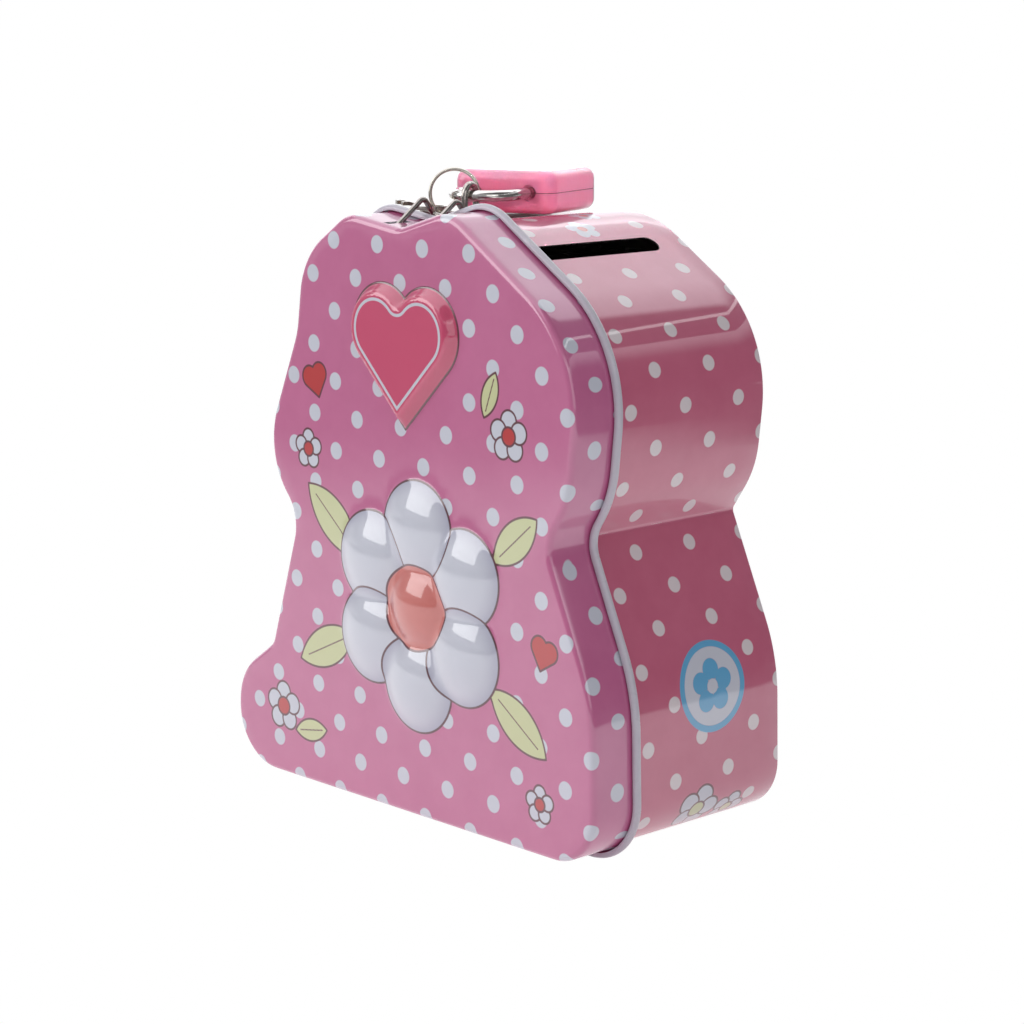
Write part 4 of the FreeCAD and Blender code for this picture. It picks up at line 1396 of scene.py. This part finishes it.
@dataclass
class BackPanel:
    """Flat tray pressed in behind the hem, with a shallow stiffening step."""

    out: float = -1.2
    rear: float = 61.2
    rim: float = 5.0
    corner: float = 0.8
    corner_steps: int = 5
    step_from_edge: float = 8.0
    step_width: float = 1.6
    step_depth: float = 0.7
    step_rows: int = 6

    def profile(self) -> list[Point2]:
        """Lays out the rows from the rim's front edge to the step's foot.

        Returns:
            How far out and how deep each row is.
        """
        rows = [(self.out, self.rear - self.rim), (self.out, self.rear - self.rim / 2)]
        for turn in stepped(math.pi / 2, self.corner_steps):
            inwards, forwards = 1 - math.cos(turn), 1 - math.sin(turn)
            rows.append((self.out - self.corner * inwards, self.rear - self.corner * forwards))
        edge = self.out - self.step_from_edge
        for share in stepped(1.0, self.step_rows):
            rows.append((edge - self.step_width * share, self.rear - self.step_depth * gentle(share)))
        return rows

    def build(self) -> None:
        """Builds the tray."""
        spots = BAND_OUTLINE.stations([], line_step=3.0, arc_step=1.6, arc_degrees=6.0)
        sheet = Sheet()
        grid = sheet.sweep(spots, [(out, deep, out) for out, deep in self.profile()])
        sheet.skin(grid)
        rim = [column[-1] for column in grid]
        border = [(sheet.points[i][0], sheet.points[i][2]) for i in rim]
        _, faces, sources = filled(border, [], [])
        numbers = [rim[s] for s in sources]
        sheet.faces += [tuple(numbers[i] for i in reversed(face)) for face in faces]
        made = sheet.build("back_tray", Body.BOX)
        flat = np.array(sheet.flat)
        InkPlate(flat).write(made.data, flat)
        printed = LithoTin("litho-printed back tin", *WALL_GROUND, LID_DOTS, (), dot_colour=WARM_DOTS)
        thicken(made, printed, Finish.TINPLATE)
        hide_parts("back_panel")


@dataclass
class Fittings:
    """Hinge, hasp, padlock, ring and keys, which keep the frame's own shapes."""

    lock_yaw: float = 18.0
    latch_travel: float = 2.6
    finishes: dict[str, Finish] = field(default_factory=lambda: {
        "hinge_leaf": Finish.TINPLATE,
        "hinge_pin": Finish.HASP_WIRE,
        "hasp_bail": Finish.HASP_WIRE,
        "hasp_staple": Finish.HASP_WIRE,
        "staple_plate": Finish.ZINC,
        "padlock_case_upper": Finish.CASE,
        "padlock_case_lower": Finish.CASE,
        "case_pins": Finish.ZINC,
        "padlock_shackle": Finish.CHROME,
        "lock_plug": Finish.BRASS,
        "plug_clip": Finish.ZINC,
        "latch_bolt": Finish.ZINC,
        "key_ring": Finish.NICKEL,
        "key_1": Finish.NICKEL,
        "key_2": Finish.NICKEL,
    })

    def dress(self) -> None:
        """Dresses every node that stays."""
        for name, finish in self.finishes.items():
            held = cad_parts[name].data.materials
            held.clear()
            held.append(made_once(finish.value))
            LOG.info("node %s: %s", name, finish.value.name)
        self.wind_spring()

    def wind_spring(self) -> None:
        """Copies the latch spring into a zinc-plated coil of its own, carried by the case."""
        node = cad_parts["latch_spring"]
        made = bpy.data.objects.new("latch_coil", node.data.copy())
        made.matrix_world = node.matrix_world
        made.data.materials.clear()
        made.data.materials.append(made_once(Finish.ZINC.value))
        bpy.context.scene.collection.objects.link(made)
        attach(made, Body.CASE.value)
        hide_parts("latch_spring")
        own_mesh(made)


@dataclass(frozen=True)
class SoftBox:
    """Lamp: its place and target and its size in metres, power in watts and fan of light in degrees."""

    name: str
    spot: Point3
    target: Point3
    size: Point2
    power: float
    spread: float = 180.0

    def hang(self) -> None:
        """Hangs the lamp."""
        data = bpy.data.lights.new(self.name, "AREA")
        data.shape = "RECTANGLE"
        data.size, data.size_y = self.size
        data.energy = self.power
        data.spread = math.radians(self.spread)
        light = bpy.data.objects.new(self.name, data)
        light.location = self.spot
        light.rotation_euler = (Vector(self.target) - Vector(self.spot)).to_track_quat("-Z", "Y").to_euler()
        bpy.context.scene.collection.objects.link(light)


BOX_MIDDLE = (0.0, 0.0, 0.07)
LAMPS = (
    SoftBox("front box", (-0.75, -1.0, 0.6), BOX_MIDDLE, size=(0.9, 0.9), power=7.2),
    SoftBox("side fill", (1.0, -0.4, 0.45), BOX_MIDDLE, size=(0.7, 0.7), power=1.35),
    SoftBox("streak", (0.587, 0.876, 0.895), (0.055, 0.0, 0.12), size=(1.6, 0.03), power=0.3),
    SoftBox(
        "lock spot", (1.0, -0.3, 0.55), (-0.004, 0.016, 0.152), size=(0.04, 0.02), power=0.005, spread=4.0,
    ),
)


@dataclass
class Studio:
    """Pale floor, soft lights and the camera at the photograph's angle."""

    lens: float = 93.6
    sensor: float = 36.0
    azimuth: float = 46.644
    elevation: float = 10.905
    camera_spot: Point3 = (0.45183, -0.42082, 0.18826)
    floor_half: float = 6.0
    across_view: Point3 = (0.687, 0.727, 0.0)
    along_view: Point3 = (-0.727, 0.687, 0.0)
    floor_glow: float = 0.1
    floor_mirrored: float = 0.48
    sheet_left: Point2 = (-0.3, -0.62)
    sheet_right: Point2 = (0.3, 0.4)
    paper_back: Point2 = (0.25, 0.5)
    table: str = "#3A383A"
    white: str = "#FFFFFF"
    room_colour: str = "#F4F4F8"
    ceiling: Point2 = (0.57, 0.67)
    room_light: float = 0.1
    ceiling_light: float = 0.62
    room_mirrored: float = 0.15
    front_mirrored: float = 0.35
    front_turn: Point2 = (0.2, -0.6)
    sweep_mirrored: float = 1.6
    sweep_turn: Point2 = (0.45, 0.85)
    ceiling_mirrored: float = 1.9
    ceiling_end: Point2 = (0.16, 0.24)
    panel: Point2 = (0.36, 0.494)
    panel_mirrored: float = 1.1

    def build(self) -> None:
        """Builds the floor, world, lights and camera."""
        self.lay_floor()
        self.light_world()
        for lamp in LAMPS:
            lamp.hang()
        data = bpy.data.cameras.new("camera")
        data.lens = self.lens
        data.sensor_width = self.sensor
        camera = bpy.data.objects.new("camera", data)
        camera.location = self.camera_spot
        camera.rotation_euler = (math.radians(90 - self.elevation), 0.0, math.radians(self.azimuth))
        bpy.context.scene.collection.objects.link(camera)
        bpy.context.scene.camera = camera
        bpy.context.scene.view_settings.view_transform = "Standard"

    def lay_floor(self) -> None:
        """Lays the pale floor, which lights the box but never hides the lid when it hangs open below it."""
        half = self.floor_half
        mesh = bpy.data.meshes.new("floor")
        corners = [(-half, -half, 0), (half, -half, 0), (half, half, 0), (-half, half, 0)]
        mesh.from_pydata(corners, [], [(0, 1, 2, 3)])
        floor = bpy.data.objects.new("floor", mesh)
        bpy.context.scene.collection.objects.link(floor)
        floor.visible_camera = False
        floor.visible_shadow = False
        paper = Finish.PAPER.value.material()
        wires = Wiring(paper.node_tree)
        shader = paper.node_tree.nodes["Principled BSDF"]
        spot = wires.place()
        aside = wires.vector("DOT_PRODUCT", spot, self.across_view).outputs["Value"]
        back = wires.vector("DOT_PRODUCT", spot, self.along_view).outputs["Value"]
        sides = [wires.ease(aside, ends) for ends in (self.sheet_left, self.sheet_right)]
        beyond = wires.maths("MAXIMUM", *sides)
        bare = wires.maths("MULTIPLY", wires.ease(back, self.paper_back, 1.0, 0.0), beyond)
        mirrored = add_node(wires.tree, "ShaderNodeLightPath").outputs["Is Glossy Ray"]
        sheet = wires.ramp(beyond, (0.0, 1.0), self.floor_mirrored, 0.0)
        white = shader.inputs["Base Color"].links[0].from_socket
        feed(shader, {
            "Base Color": wires.mix(wires.maths("MULTIPLY", mirrored, bare), white, linear(self.table)),
            "Emission Color": linear(self.white),
            "Emission Strength": wires.maths("MULTIPLY_ADD", mirrored, sheet, self.floor_glow),
        })
        mesh.materials.append(paper)

    def light_world(self) -> None:
        """Sets a white surround for the eye, and for the rest a dim room under a bright ceiling."""
        world = bpy.data.worlds.new("studio")
        bpy.context.scene.world = world
        world.use_nodes = True
        tree = world.node_tree
        tree.nodes.clear()
        wires = Wiring(tree)
        way = add_node(tree, "ShaderNodeTexCoord").outputs["Generated"]
        path = add_node(tree, "ShaderNodeLightPath").outputs
        across, deep, rise = add_node(tree, "ShaderNodeSeparateXYZ", {0: way}).outputs
        behind = wires.vector("DOT_PRODUCT", way, self.along_view).outputs["Value"]
        overhead = wires.ease(rise, self.ceiling)
        soft = wires.ramp(overhead, (0.0, 1.0), self.room_light, self.ceiling_light)
        front = wires.ease(deep, self.front_turn, self.room_mirrored, self.front_mirrored)
        sweep = wires.ease(behind, self.sweep_turn, front, self.sweep_mirrored)
        short = wires.ease(across, self.ceiling_end, overhead, 0.0)
        above = wires.ramp(short, (0.0, 1.0), sweep, self.ceiling_mirrored)
        fade = wires.ease(rise, self.panel, 0.0, self.panel_mirrored)
        under = wires.maths("LESS_THAN", rise, self.panel[1])
        hard = wires.maths("MULTIPLY_ADD", fade, under, above)
        strength = add_node(tree, "ShaderNodeMix", {0: path["Is Glossy Ray"], 2: soft, 3: hard}).outputs[0]
        room, white = (
            add_node(tree, "ShaderNodeBackground", {"Color": linear(colour), "Strength": light}).outputs[0]
            for colour, light in ((self.room_colour, strength), (self.white, 1.0))
        )
        seen = path["Is Camera Ray"]
        mixed = add_node(tree, "ShaderNodeMixShader", {0: seen, 1: room, 2: white}).outputs[0]
        add_node(tree, "ShaderNodeOutputWorld", {"Surface": mixed})


def main() -> None:
    """Builds and dresses the money box, piece by piece."""
    logging.basicConfig(level=logging.INFO, format="%(message)s")
    Lid().build()
    band = Band()
    band.build()
    band.build_feet()
    BackPanel().build()
    Fittings().dress()
    Studio().build()


if __name__ == "__main__":
    main()
